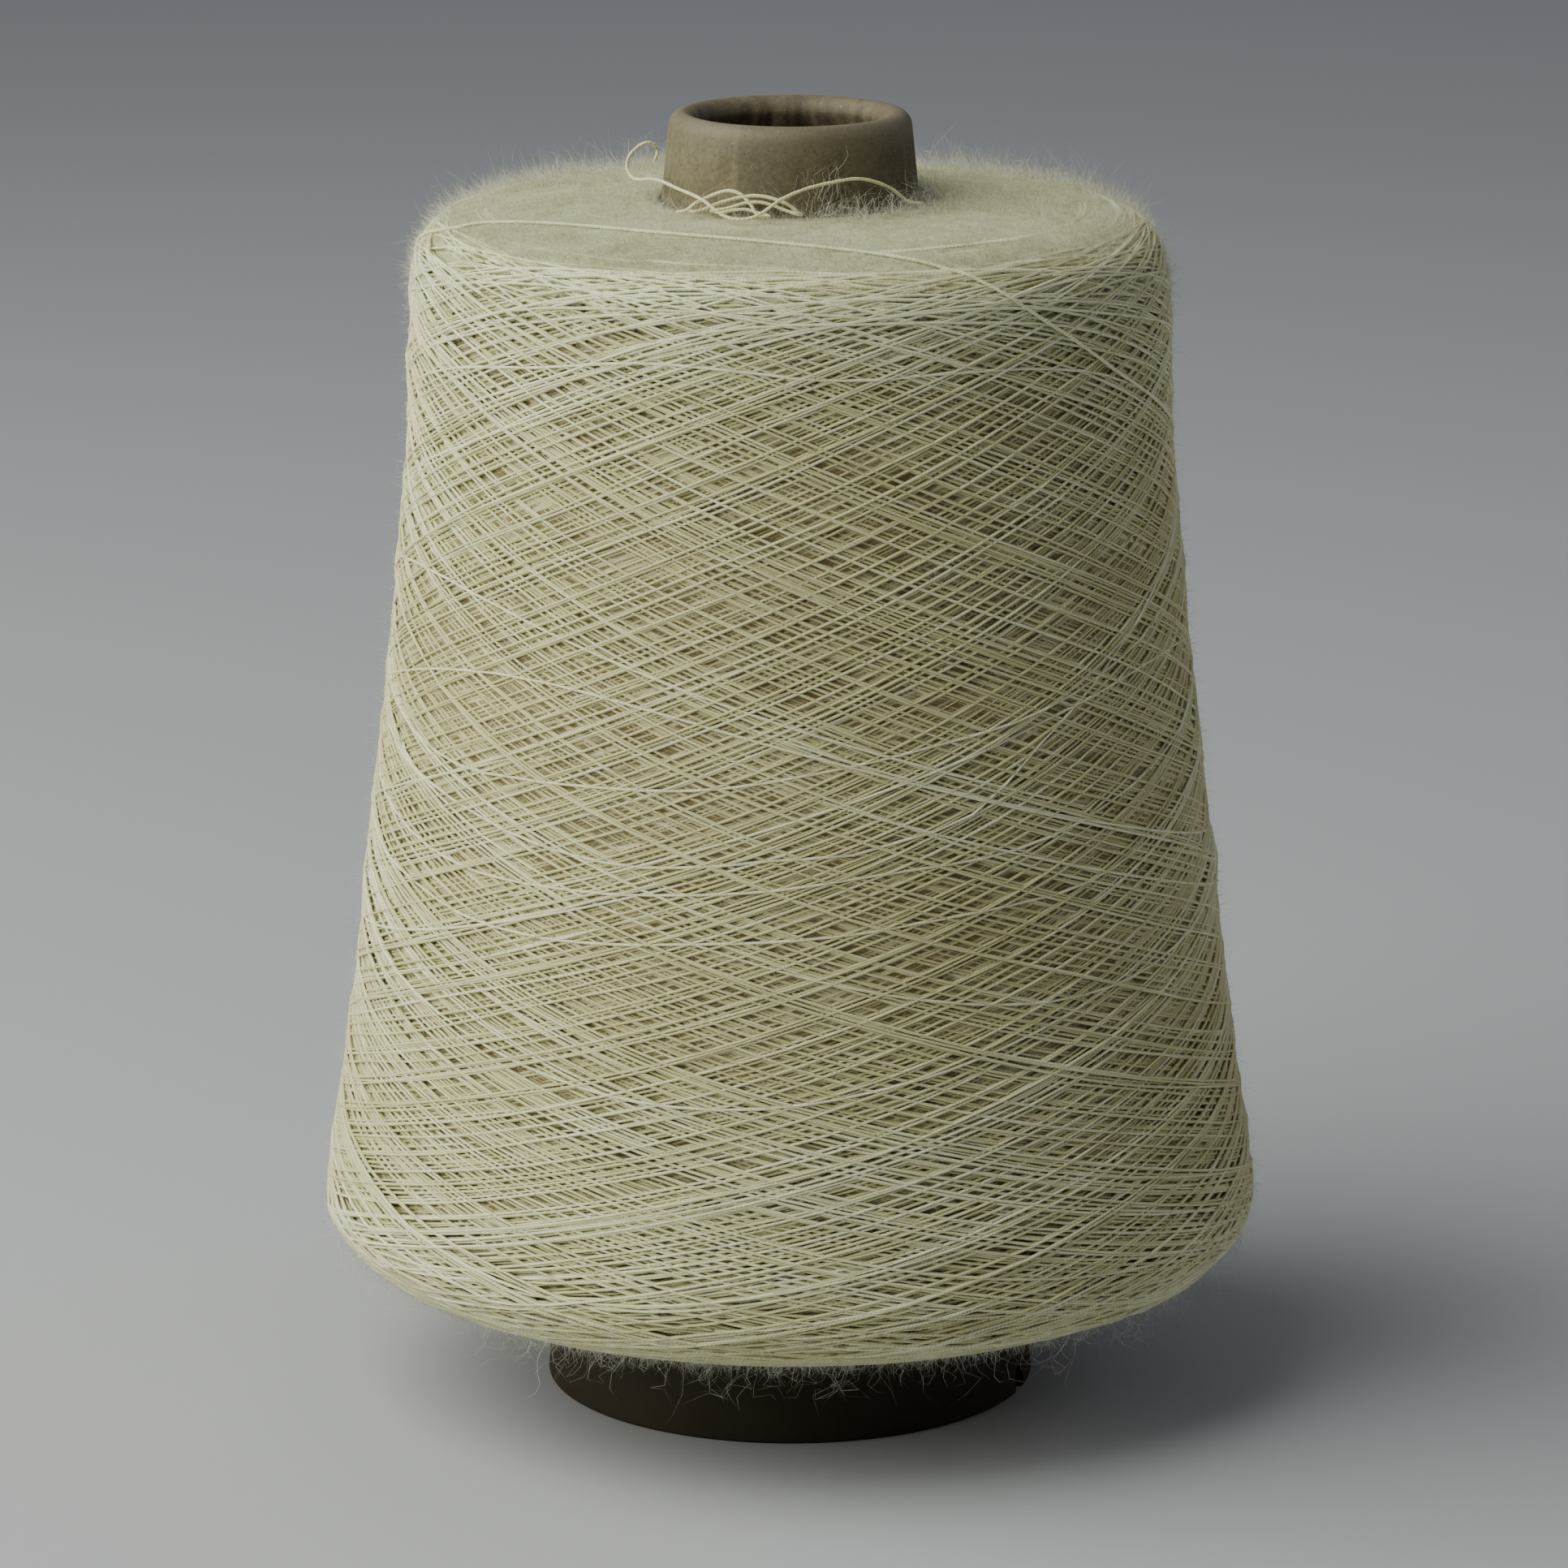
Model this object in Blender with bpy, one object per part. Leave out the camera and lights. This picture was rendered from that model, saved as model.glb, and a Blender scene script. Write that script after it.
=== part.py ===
"""Cone of yarn: cross-wound yarn on a tapered paper tube.

Metres, +Z up. The origin is the centre of the tube's base, where the cone stands. The front of
the cone faces -Y. An azimuth is an angle round +Z, 0 at the front and growing towards +X.
"""
import math
import random

import bmesh
import bpy
import numpy as np

MM = 0.001
GAP = 0.3 * MM                      # clearance between neighbouring pieces

# Paper tube
TUBE_HEIGHT = 170.0 * MM
TUBE_BASE_RADIUS = 32.45 * MM       # outside, at the base
TUBE_NOSE_RADIUS = 15.6 * MM        # outside, at the nose
TUBE_WALL = 2.8 * MM
TUBE_SIDES = 64
BASE_EDGE_ROUNDING = 0.5 * MM
LIP_THICKNESS = 3.6 * MM            # the nose is rolled inwards into a lip
LIP_ROLL_HEIGHT = 2.1 * MM
LIP_STEPS = 8
LIP_DEPTH = 5.2 * MM                # from the nose down to where the lip meets the wall

# Notch for the yarn's tail, open at the base edge
NOTCH_AZIMUTH = 71.0
NOTCH_WIDTH = 3.3 * MM
NOTCH_HEIGHT = 3.2 * MM
NOTCH_ARCH_STEPS = 8
NOTCH_CUTTER_OVERLAP = 2.0 * MM     # how far the cutter runs past the wall and the edge

# Outline of the wound yarn, from the tube over the top, down the side and back to the tube
YARN_OUTLINE = (                    # radius and height, in mm
    (17.0, 158.9),
    (24.0, 158.8),
    (36.0, 158.1),
    (44.6, 156.5),
    (48.1, 153.5),
    (49.5, 147.5),
    (50.1, 131.0),
    (54.4, 88.0),
    (59.1, 48.0),
    (61.5, 32.0),
    (61.45, 24.4),
    (58.0, 19.6),
    (52.0, 17.0),
    (31.5, 13.4),
)
TOP_RING_RADII = (40.0, 34.0, 26.0)         # in mm, between the crossings and the tube
UNDER_RING_RADII = (50.0, 42.0)             # in mm, between the crossings and the tube

# Crossing bands of yarn on the side
BANDS = 22                          # bands that climb, and as many that fall
BAND_SHARE = 0.5                    # of the spacing between two bands that the band itself fills
CLIMB_TURNS = 1.125                 # turns of a climbing band, edge to edge; a falling one makes
LATTICE_TURNS = 2                   # the rest of these turns, so the bands meet at both edges
BAND_UNEVENNESS = 0.14              # of the spacing between two bands
EDGE_FLATTENING = 0.14              # bands run flatter near the edges, where they turn back
HOLLOW_DEPTH = 0.9 * MM             # of the diamond between four bands
TOP_EDGE_RADIUS = 44.6 * MM
BOTTOM_EDGE_RADIUS = 55.4 * MM

# Single strands of yarn
STRAND_DIAMETER = 0.5 * MM
STRAND_CLEARANCE = GAP + STRAND_DIAMETER / 2
LOOP_POINT_SPACING = 2.6 * STRAND_DIAMETER
TURN_POINT_SPACING = 5.2 * STRAND_DIAMETER  # a nearly straight strand needs fewer points

# A slipped turn that cuts across the top
SLIPPED_TURN = (                    # azimuth in degrees, distance along the outline in mm
    (-108.0, 39.5),
    (-98.0, 35.6),
    (-90.5, 32.6),
    (-85.6, 30.9),
    (-75.7, 27.3),
    (-71.2, 23.7),
    (-63.6, 19.6),
    (-50.7, 16.2),
    (-33.5, 14.5),
    (-13.4, 15.0),
    (4.3, 18.3),
    (13.3, 21.4),
    (19.9, 24.9),
    (26.1, 28.2),
    (33.9, 33.6),
    (46.2, 40.1),
    (56.2, 45.1),
    (68.8, 50.3),
    (77.2, 53.4),
    (88.0, 57.6),
    (97.0, 61.4),
)

# Loose strands beside the tube's nose
LOOSE_END = (                       # azimuth in degrees, distance from the tube and height in mm
    (61.0, 2.6, 159.45),
    (58.6, 2.0, 159.5),
    (55.3, 1.5, 159.95),
    (48.5, 1.2, 161.5),
    (40.5, 1.1, 162.65),
    (29.6, 1.2, 163.5),
    (16.6, 1.6, 163.3),
    (5.1, 2.7, 162.7),
    (-3.6, 4.1, 161.6),
    (-9.6, 5.4, 160.1),
    (-13.7, 6.0, 159.5),
    (-18.4, 6.3, 159.45),
    (-21.9, 6.2, 159.8),
    (-29.6, 5.8, 161.4),
    (-45.4, 4.0, 162.2),
    (-60.0, 2.9, 162.4),
    (-74.2, 2.5, 161.9),
    (-86.0, 2.9, 161.2),
    (-93.5, 4.0, 161.1),
    (-96.5, 4.9, 162.2),
    (-97.5, 4.8, 163.6),
    (-99.0, 3.7, 164.9),
    (-101.0, 2.5, 165.3),
    (-103.0, 1.5, 164.3),
    (-102.0, 1.6, 162.9),
)
SLACK_LOOPS = (                     # azimuth in degrees, distance from the tube and height in mm
    (-41.2, 5.2, 159.45),
    (-37.4, 5.0, 159.8),
    (-34.6, 4.8, 160.7),
    (-30.1, 4.6, 161.6),
    (-22.6, 4.4, 162.6),
    (-17.7, 4.4, 162.3),
    (-13.7, 4.5, 161.0),
    (-11.4, 4.7, 159.9),
    (-8.8, 4.6, 159.45),
    (-7.4, 3.7, 159.45),
    (-9.4, 2.8, 159.5),
    (-13.1, 2.6, 159.8),
    (-17.3, 2.6, 160.1),
    (-22.2, 2.6, 159.9),
    (-27.0, 2.6, 159.5),
    (-31.2, 2.2, 159.45),
    (-33.4, 1.5, 159.45),
    (-31.6, 0.8, 159.5),
    (-28.0, 0.7, 159.7),
    (-18.7, 0.7, 160.6),
    (-13.0, 0.7, 160.75),
    (-7.4, 0.7, 160.4),
    (-2.9, 0.8, 159.9),
    (1.8, 1.2, 159.5),
    (4.4, 2.0, 159.5),
    (3.0, 2.8, 159.8),
    (0.2, 2.9, 160.7),
    (-5.3, 2.9, 161.5),
    (-12.2, 2.8, 161.9),
    (-19.3, 2.7, 161.6),
    (-28.6, 2.8, 160.6),
    (-33.5, 3.2, 159.8),
    (-37.0, 3.6, 159.45),
    (-40.0, 3.5, 159.45),
)

TUBE_COLOUR = (0.27, 0.22, 0.15)
YARN_COLOUR = (0.72, 0.68, 0.52)


def remove_everything():
    for item in list(bpy.data.objects):
        bpy.data.objects.remove(item)


def cloth_or_card(name, colour, roughness):
    material = bpy.data.materials.new(name)
    material.use_nodes = True
    shader = material.node_tree.nodes["Principled BSDF"]
    shader.inputs["Base Color"].default_value = (*colour, 1.0)
    shader.inputs["Roughness"].default_value = roughness
    shader.inputs["Metallic"].default_value = 0.0
    return material


def place(azimuth, radius, height):
    """The point at this azimuth (radians) and radius round the cone's axis."""
    return (radius * math.sin(azimuth), -radius * math.cos(azimuth), height)


def tube_radius(height):
    """Outside radius of the tapered tube at a height."""
    return TUBE_BASE_RADIUS + (TUBE_NOSE_RADIUS - TUBE_BASE_RADIUS) * height / TUBE_HEIGHT


def smooth_curve(rows, steps=24):
    """A centripetal Catmull-Rom curve through the rows, as an array of points."""
    knots = np.asarray(rows, dtype=float)
    knots = np.vstack([2 * knots[0] - knots[1], knots, 2 * knots[-1] - knots[-2]])
    pieces = []
    for first in range(len(knots) - 3):
        a, b, c, d = knots[first:first + 4]
        times = [0.0]
        for start, end in ((a, b), (b, c), (c, d)):
            times.append(times[-1] + math.sqrt(np.linalg.norm(end - start)))
        t0, t1, t2, t3 = times
        t = np.linspace(t1, t2, steps, endpoint=False)[:, None]
        ab = (t1 - t) / (t1 - t0) * a + (t - t0) / (t1 - t0) * b
        bc = (t2 - t) / (t2 - t1) * b + (t - t1) / (t2 - t1) * c
        cd = (t3 - t) / (t3 - t2) * c + (t - t2) / (t3 - t2) * d
        abc = (t2 - t) / (t2 - t0) * ab + (t - t0) / (t2 - t0) * bc
        bcd = (t3 - t) / (t3 - t1) * bc + (t - t1) / (t3 - t1) * cd
        pieces.append((t2 - t) / (t2 - t1) * abc + (t - t1) / (t2 - t1) * bcd)
    pieces.append(knots[-2][None])
    return np.vstack(pieces)


def lengths_along(points):
    steps = np.linalg.norm(np.diff(points, axis=0), axis=1)
    return np.concatenate([[0.0], np.cumsum(steps)])


class Outline:
    """The wound yarn's outline, read by the distance along it from the tube at the top."""

    def __init__(self, rows):
        self.points = smooth_curve(np.asarray(rows) * MM)
        self.distances = lengths_along(self.points)
        directions = np.gradient(self.points, self.distances, axis=0)
        self.normals = np.column_stack([-directions[:, 1], directions[:, 0]])

    def at(self, distance, outwards=0.0):
        """Radius and height at a distance, moved outwards along the surface's normal."""
        radius = np.interp(distance, self.distances, self.points[:, 0])
        height = np.interp(distance, self.distances, self.points[:, 1])
        normal_radius = np.interp(distance, self.distances, self.normals[:, 0])
        normal_height = np.interp(distance, self.distances, self.normals[:, 1])
        return radius + outwards * normal_radius, height + outwards * normal_height

    def distance_at_radius(self, radius, after=0.0):
        """Distance where the outline has this radius, on its top or, after a distance, below."""
        rest = self.distances >= after
        nearest = np.argmin(np.abs(self.points[rest, 0] - radius))
        return float(self.distances[rest][nearest])


def solid_from_mesh(name, mesh, material, sharp_degrees):
    mesh.materials.append(material)
    mesh.shade_smooth()
    mesh.set_sharp_from_angle(angle=math.radians(sharp_degrees))
    solid = bpy.data.objects.new(name, mesh)
    bpy.context.collection.objects.link(solid)
    return solid


def tube_profile():
    """The tube's section: down the outside, in along the base, up the inside, over the lip."""
    edge = BASE_EDGE_ROUNDING
    points = [
        (tube_radius(edge), edge),
        (tube_radius(edge) - edge, 0.0),
        (tube_radius(edge) - TUBE_WALL + edge, 0.0),
        (tube_radius(edge) - TUBE_WALL, edge),
    ]
    lip_foot = TUBE_HEIGHT - LIP_DEPTH
    points.append((tube_radius(lip_foot) - TUBE_WALL, lip_foot))
    roll_height = TUBE_HEIGHT - LIP_ROLL_HEIGHT
    roll_middle = tube_radius(roll_height) - LIP_THICKNESS / 2
    for step in range(LIP_STEPS + 1):
        angle = math.pi * (1.0 - step / LIP_STEPS)
        points.append((
            roll_middle + LIP_THICKNESS / 2 * math.cos(angle),
            roll_height + LIP_ROLL_HEIGHT * math.sin(angle),
        ))
    return points


def paper_tube(material):
    """The tapered tube, turned from its section, with the notch cut out of its base edge."""
    points = [(radius, 0.0, height) for radius, height in tube_profile()]
    edges = [(index, (index + 1) % len(points)) for index in range(len(points))]
    mesh = bpy.data.meshes.new("paper_cone")
    mesh.from_pydata(points, edges, [])
    tube = bpy.data.objects.new("paper_cone", mesh)
    bpy.context.collection.objects.link(tube)
    mesh.materials.append(material)
    turning = tube.modifiers.new("turned", "SCREW")
    turning.steps = TUBE_SIDES
    turning.render_steps = TUBE_SIDES
    turning.use_merge_vertices = True
    turning.merge_threshold = 0.01 * MM
    turning.use_smooth_shade = True
    cut = tube.modifiers.new("notch", "BOOLEAN")
    cut.operation = "DIFFERENCE"
    cut.object = notch_cutter()
    return tube


def notch_cutter():
    """A round-topped bar through the wall: straight sides under a half circle."""
    half_width = NOTCH_WIDTH / 2
    arch = [(-half_width, -NOTCH_CUTTER_OVERLAP)]
    for step in range(NOTCH_ARCH_STEPS + 1):
        angle = math.pi * (1.0 - step / NOTCH_ARCH_STEPS)
        arch.append((
            half_width * math.cos(angle),
            NOTCH_HEIGHT - half_width + half_width * math.sin(angle),
        ))
    arch.append((half_width, -NOTCH_CUTTER_OVERLAP))

    azimuth = math.radians(NOTCH_AZIMUTH)
    builder = bmesh.new()
    rings = []
    inner_reach = tube_radius(NOTCH_HEIGHT) - TUBE_WALL - NOTCH_CUTTER_OVERLAP
    for reach in (inner_reach, TUBE_BASE_RADIUS + NOTCH_CUTTER_OVERLAP):
        middle = place(azimuth, reach, 0.0)
        rings.append([
            builder.verts.new((
                middle[0] + across * math.cos(azimuth),
                middle[1] + across * math.sin(azimuth),
                height,
            ))
            for across, height in arch
        ])
    inner, outer = rings
    builder.faces.new(inner)
    builder.faces.new(outer)
    for index in range(len(arch)):
        after = (index + 1) % len(arch)
        builder.faces.new((inner[index], inner[after], outer[after], outer[index]))
    bmesh.ops.recalc_face_normals(builder, faces=builder.faces)
    mesh = bpy.data.meshes.new("notch_cutter")
    builder.to_mesh(mesh)
    builder.free()
    cutter = bpy.data.objects.new("notch_cutter", mesh)
    cutter.hide_render = True
    cutter.display_type = "WIRE"
    bpy.context.collection.objects.link(cutter)
    return cutter


def band_edges():
    """Azimuths where the bands' two edges leave the lower edge, over three turns.

    The stretch after an even entry is a band, and the stretch after an odd one is a gap.
    """
    chance = random.Random(7)
    spacing = math.tau / BANDS
    edges = []
    for band in range(BANDS):
        middle = (band + chance.uniform(-BAND_UNEVENNESS, BAND_UNEVENNESS)) * spacing
        edges += [middle - BAND_SHARE / 2 * spacing, middle + BAND_SHARE / 2 * spacing]
    count = len(edges)
    return [edges[index % count] + math.tau * (index // count) for index in range(3 * count + 1)]


def climb_share(turned):
    """How far up the side a band is once it has made this share of its turns."""
    return turned - EDGE_FLATTENING / math.tau * math.sin(math.tau * turned)


def wound_yarn(material, outline):
    """The package of yarn: bands cross in a lattice, with a diamond-shaped hollow in each gap."""
    builder = bmesh.new()
    top = outline.distance_at_radius(TOP_EDGE_RADIUS)
    half_way = outline.distances[-1] / 2
    bottom = outline.distance_at_radius(BOTTOM_EDGE_RADIUS, after=half_way)
    edges = band_edges()
    columns = 2 * BANDS
    steps = LATTICE_TURNS * columns

    def crossing_place(climbing, step):
        """Where one climbing edge meets the falling edge that starts this many edges later."""
        turned = (edges[climbing + step] - edges[climbing]) / (LATTICE_TURNS * math.tau)
        return edges[climbing] + math.tau * CLIMB_TURNS * turned, turned

    def point(azimuth, turned, outwards=0.0):
        distance = bottom + (top - bottom) * climb_share(turned)
        return builder.verts.new(place(azimuth, *outline.at(distance, outwards)))

    places = [[crossing_place(edge, step) for step in range(steps + 1)] for edge in range(columns)]
    crossings = [[point(*spot) for spot in line] for line in places]
    places.append([(azimuth + math.tau, turned) for azimuth, turned in places[0]])
    crossings.append(crossings[0])

    for edge in range(columns):
        for step in range(1, steps):
            corners = ((edge, step), (edge + 1, step - 1), (edge + 1, step), (edge, step + 1))
            ring = [crossings[line][spot] for line, spot in corners]
            if edge % 2 == 1 and (edge + step) % 2 == 1:
                azimuth = sum(places[line][spot][0] for line, spot in corners) / 4
                turned = sum(places[line][spot][1] for line, spot in corners) / 4
                hollow = point(azimuth, turned, -HOLLOW_DEPTH)
                for side in range(4):
                    builder.faces.new((hollow, ring[side], ring[(side + 1) % 4]))
            else:
                builder.faces.new(ring)
        builder.faces.new((crossings[edge][0], crossings[edge + 1][0], crossings[edge][1]))
        last = (crossings[edge + 1][steps], crossings[edge][steps], crossings[edge + 1][steps - 1])
        builder.faces.new(last)

    bottom_ring = [line[0] for line in crossings[:columns]]
    top_ring = [line[steps] for line in crossings[:columns]]
    bottom_azimuths = [line[0][0] for line in places[:columns]]
    top_azimuths = [line[steps][0] for line in places[:columns]]
    join_over_top_and_inside(builder, outline, top_ring, top_azimuths, bottom_ring, bottom_azimuths)
    bmesh.ops.recalc_face_normals(builder, faces=builder.faces)
    mesh = bpy.data.meshes.new("wound_yarn")
    builder.to_mesh(mesh)
    builder.free()
    return solid_from_mesh("wound_yarn", mesh, material, sharp_degrees=20)


def join_over_top_and_inside(builder, outline, top_ring, top_azimuths, bottom_ring, bottom_azimuths):
    """Closes the yarn with rings over its top, down beside the tube and out along its underside."""
    clear_of_facets = 1 / math.cos(math.pi / len(top_ring))
    half_way = outline.distances[-1] / 2

    def beside_tube(height):
        return ((tube_radius(height) + GAP) * clear_of_facets, height)

    rings = [outline.at(outline.distance_at_radius(r * MM)) for r in TOP_RING_RADII]
    rings.append(beside_tube(YARN_OUTLINE[0][1] * MM))
    rings.append(beside_tube(YARN_OUTLINE[-1][1] * MM))
    rings += [
        outline.at(outline.distance_at_radius(r * MM, after=half_way))
        for r in reversed(UNDER_RING_RADII)
    ]

    # The lattice has turned the top ring against the bottom one: the rings between share the turn
    count = len(top_ring)
    shift = round((top_azimuths[0] - bottom_azimuths[0]) % math.tau / math.tau * count)
    whole_turns = round((top_azimuths[0] - bottom_azimuths[shift]) / math.tau)
    target = [
        bottom_azimuths[(index + shift) % count]
        + math.tau * ((index + shift) // count + whole_turns)
        for index in range(count)
    ]
    previous = top_ring
    for number, (radius, height) in enumerate(rings, start=1):
        share = number / (len(rings) + 1)
        ring = [
            builder.verts.new(place((1 - share) * above + share * below, radius, height))
            for above, below in zip(top_azimuths, target)
        ]
        bridge(builder, previous, ring)
        previous = ring
    bridge(builder, previous, bottom_ring[shift:] + bottom_ring[:shift])


def bridge(builder, ring, next_ring):
    count = len(ring)
    for index in range(count):
        after = (index + 1) % count
        builder.faces.new((ring[index], ring[after], next_ring[after], next_ring[index]))


def strand(name, route, spacing, material):
    """A strand of yarn: a round tube along a smooth route, with its points evenly spaced."""
    distances = lengths_along(route)
    count = round(distances[-1] / spacing) + 1
    even = np.linspace(0.0, distances[-1], count)
    points = np.column_stack([np.interp(even, distances, route[:, axis]) for axis in range(3)])
    curve = bpy.data.curves.new(name, "CURVE")
    curve.dimensions = "3D"
    curve.bevel_depth = STRAND_DIAMETER / 2
    curve.bevel_resolution = 2
    curve.use_fill_caps = True
    spline = curve.splines.new("POLY")
    spline.points.add(count - 1)
    for spot, point in zip(spline.points, points):
        spot.co = (*point, 1.0)
    curve.materials.append(material)
    solid = bpy.data.objects.new(name, curve)
    bpy.context.collection.objects.link(solid)
    return solid


def slipped_turn_route(outline):
    """The slipped turn's route, lying just clear of the wound yarn."""
    curve = smooth_curve(SLIPPED_TURN)
    return np.array([
        place(math.radians(azimuth), *outline.at(distance * MM, STRAND_CLEARANCE))
        for azimuth, distance in curve
    ])


def loose_route(rows):
    """A route beside the tube's nose, through rows of azimuth, distance from it and height."""
    spots = [
        place(math.radians(azimuth), tube_radius(height * MM) + distance * MM, height * MM)
        for azimuth, distance, height in rows
    ]
    return smooth_curve(spots)


def main():
    remove_everything()
    card = cloth_or_card("card", TUBE_COLOUR, 0.7)
    yarn = cloth_or_card("yarn", YARN_COLOUR, 0.9)
    outline = Outline(YARN_OUTLINE)
    paper_tube(card)
    wound_yarn(yarn, outline)
    strand("slipped_turn", slipped_turn_route(outline), TURN_POINT_SPACING, yarn)
    strand("loose_end", loose_route(LOOSE_END), LOOP_POINT_SPACING, yarn)
    strand("slack_loops", loose_route(SLACK_LOOPS), LOOP_POINT_SPACING, yarn)


main()
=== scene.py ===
import math
import time

import bpy
import numpy as np
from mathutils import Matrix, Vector


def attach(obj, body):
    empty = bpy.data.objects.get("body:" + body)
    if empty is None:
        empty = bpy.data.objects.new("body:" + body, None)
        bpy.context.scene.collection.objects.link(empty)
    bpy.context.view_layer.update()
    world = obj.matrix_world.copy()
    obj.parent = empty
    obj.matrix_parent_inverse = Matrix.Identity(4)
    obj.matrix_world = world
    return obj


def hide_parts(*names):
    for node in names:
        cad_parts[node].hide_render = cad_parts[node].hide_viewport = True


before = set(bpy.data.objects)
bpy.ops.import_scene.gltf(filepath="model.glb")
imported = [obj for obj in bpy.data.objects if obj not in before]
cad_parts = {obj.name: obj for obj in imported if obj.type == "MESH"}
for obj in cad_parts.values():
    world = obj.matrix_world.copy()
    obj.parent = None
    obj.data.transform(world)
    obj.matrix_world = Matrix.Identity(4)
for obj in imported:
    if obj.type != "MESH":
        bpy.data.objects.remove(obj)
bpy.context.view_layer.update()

mm = 0.001                       # every size below is in mm until it goes into a mesh
dice = np.random.default_rng(41)
started = time.time()


def report(stage):
    print(f"[{time.time() - started:5.1f} s] {stage}")


def runningSum(values):
    # nothing, the first value, the first two added up, and so on
    return np.concatenate([[0.0], np.cumsum(values)])


def smoothCurve(rows, steps=24):
    # centripetal Catmull-Rom: a stretch blends the straight lines through its four nearest knots,
    # whose times are apart by the square roots of the distances between them
    knots = np.asarray(rows, dtype=float)
    knots = np.vstack([2 * knots[0] - knots[1], knots, 2 * knots[-1] - knots[-2]])
    times = runningSum(np.sqrt(np.linalg.norm(np.diff(knots, axis=0), axis=1)))
    stretches = len(knots) - 3
    knot = [knots[first:first + stretches, None] for first in range(4)]
    at = [times[first:first + stretches, None, None] for first in range(4)]
    now = at[1] + (at[2] - at[1]) * np.linspace(0.0, 1.0, steps, endpoint=False)[None, :, None]

    def between(start, end, startTime, endTime):
        return ((endTime - now) * start + (now - startTime) * end) / (endTime - startTime)

    middlePair = between(knot[1], knot[2], at[1], at[2])
    before = between(between(knot[0], knot[1], at[0], at[1]), middlePair, at[0], at[2])
    after = between(middlePair, between(knot[2], knot[3], at[2], at[3]), at[1], at[3])
    curve = between(before, after, at[1], at[2]).reshape(-1, knots.shape[1])
    return np.vstack([curve, knots[-2]])


def lengthsAlong(points):
    # how far each point is from the first, along the line
    return runningSum(np.linalg.norm(np.diff(points, axis=0), axis=1))


def evenlySpaced(points, spacing):
    # the same line with its points this far apart
    distances = lengthsAlong(points)
    even = np.linspace(0.0, distances[-1], max(2, round(distances[-1] / spacing) + 1))
    return np.stack([np.interp(even, distances, column) for column in points.T], axis=1)


def place(azimuth, radius, height):
    # azimuth in radians from the front (-Y) towards +X
    return np.stack(np.broadcast_arrays(
        radius * np.sin(azimuth), -radius * np.cos(azimuth), height), axis=-1)


def unit(vectors):
    return vectors / np.maximum(np.linalg.norm(vectors, axis=-1, keepdims=True), 1e-12)


tube = {
    "height": 170.0, "baseRadius": 32.45, "noseRadius": 15.6, "wall": 2.8,
    "lipThickness": 3.6, "lipRoll": 2.1, "lipDepth": 5.2, "baseRounding": 0.5,
    "notchAzimuth": 71.0, "notchWidth": 3.3, "notchHeight": 3.2,
    "notchReach": 0.066,          # radians on both sides of it that its own columns take
    "notchMargin": 0.02,
    "squeezeHeight": 8.0,         # rows up to here make room for the notch
    "columns": 208, "wallRows": 36, "lipRows": 20, "boreRows": 24, "underLipRows": 7,
    "roundingRows": 5, "notchColumns": 11,
    "boreSpread": 0.7, "wallSpread": 1.3,      # powers that draw the rows together at the lip
    "innerMargin": 0.05,
    "seamAzimuth": -25.0,         # where the wrapped board ends
    "seamStep": 0.12, "seamFade": 7.0,
    "edgeFade": 3.0,              # height over which unevenness starts from either end
    "pleats": ((19, 0.30), (31, 0.25), (47, 0.18)),    # how many go round, and their depth
    # depths below the top where they start and fade, over how far, and the share that is left
    "pleatsFrom": 0.8, "pleatsFull": 6.0, "pleatsFade": 6.0, "pleatsDeepDown": 0.25,
    "uneven": (                   # waves round it, depth, radians turned, mm of height a radian
        (2, 0.07, 0.6, math.inf), (3, 0.05, 0.0, 19.0), (7, 0.03, 0.0, -7.0),
    ),
    "creaseAngle": 35.0,
}


def tubeRadius(height):
    # straight from the radius of the base to that of the nose
    return tube["baseRadius"] + (tube["noseRadius"] - tube["baseRadius"]) * height / tube["height"]


# Outline of the wound yarn as radius and height: out over the top, down the side, back to the tube
yarnOutline = (
    (17.0, 158.9), (24.0, 158.8), (36.0, 158.1), (44.6, 156.5), (48.1, 153.5), (49.5, 147.5),
    (50.1, 131.0), (54.4, 88.0), (59.1, 48.0), (61.5, 32.0), (61.45, 24.4), (58.0, 19.6),
    (52.0, 17.0), (31.5, 13.4),
)
outlinePoints = smoothCurve(yarnOutline)
outlineDistances = lengthsAlong(outlinePoints)
outlineLength = outlineDistances[-1]
outlineDirections = np.gradient(outlinePoints, outlineDistances, axis=0)
outlineNormals = unit(np.stack([-outlineDirections[:, 1], outlineDirections[:, 0]], axis=1))


def outlineAt(distance, outwards=0.0):
    # radius and height this far along the outline, moved outwards along its normal
    radius, height, normalRadius, normalHeight = (
        np.interp(distance, outlineDistances, column)
        for column in (*outlinePoints.T, *outlineNormals.T))
    return radius + outwards * normalRadius, height + outwards * normalHeight


def onYarn(azimuth, distance, outwards=0.0):
    # the outline's radius and height at this distance, turned to the azimuth
    return place(azimuth, *outlineAt(distance, outwards))


def normalOnYarn(azimuth, distance):
    return place(azimuth, *(
        np.interp(distance, outlineDistances, column) for column in outlineNormals.T))


def put(name, data):
    made = bpy.data.objects.new(name, data)
    bpy.context.collection.objects.link(made)
    return made


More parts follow.
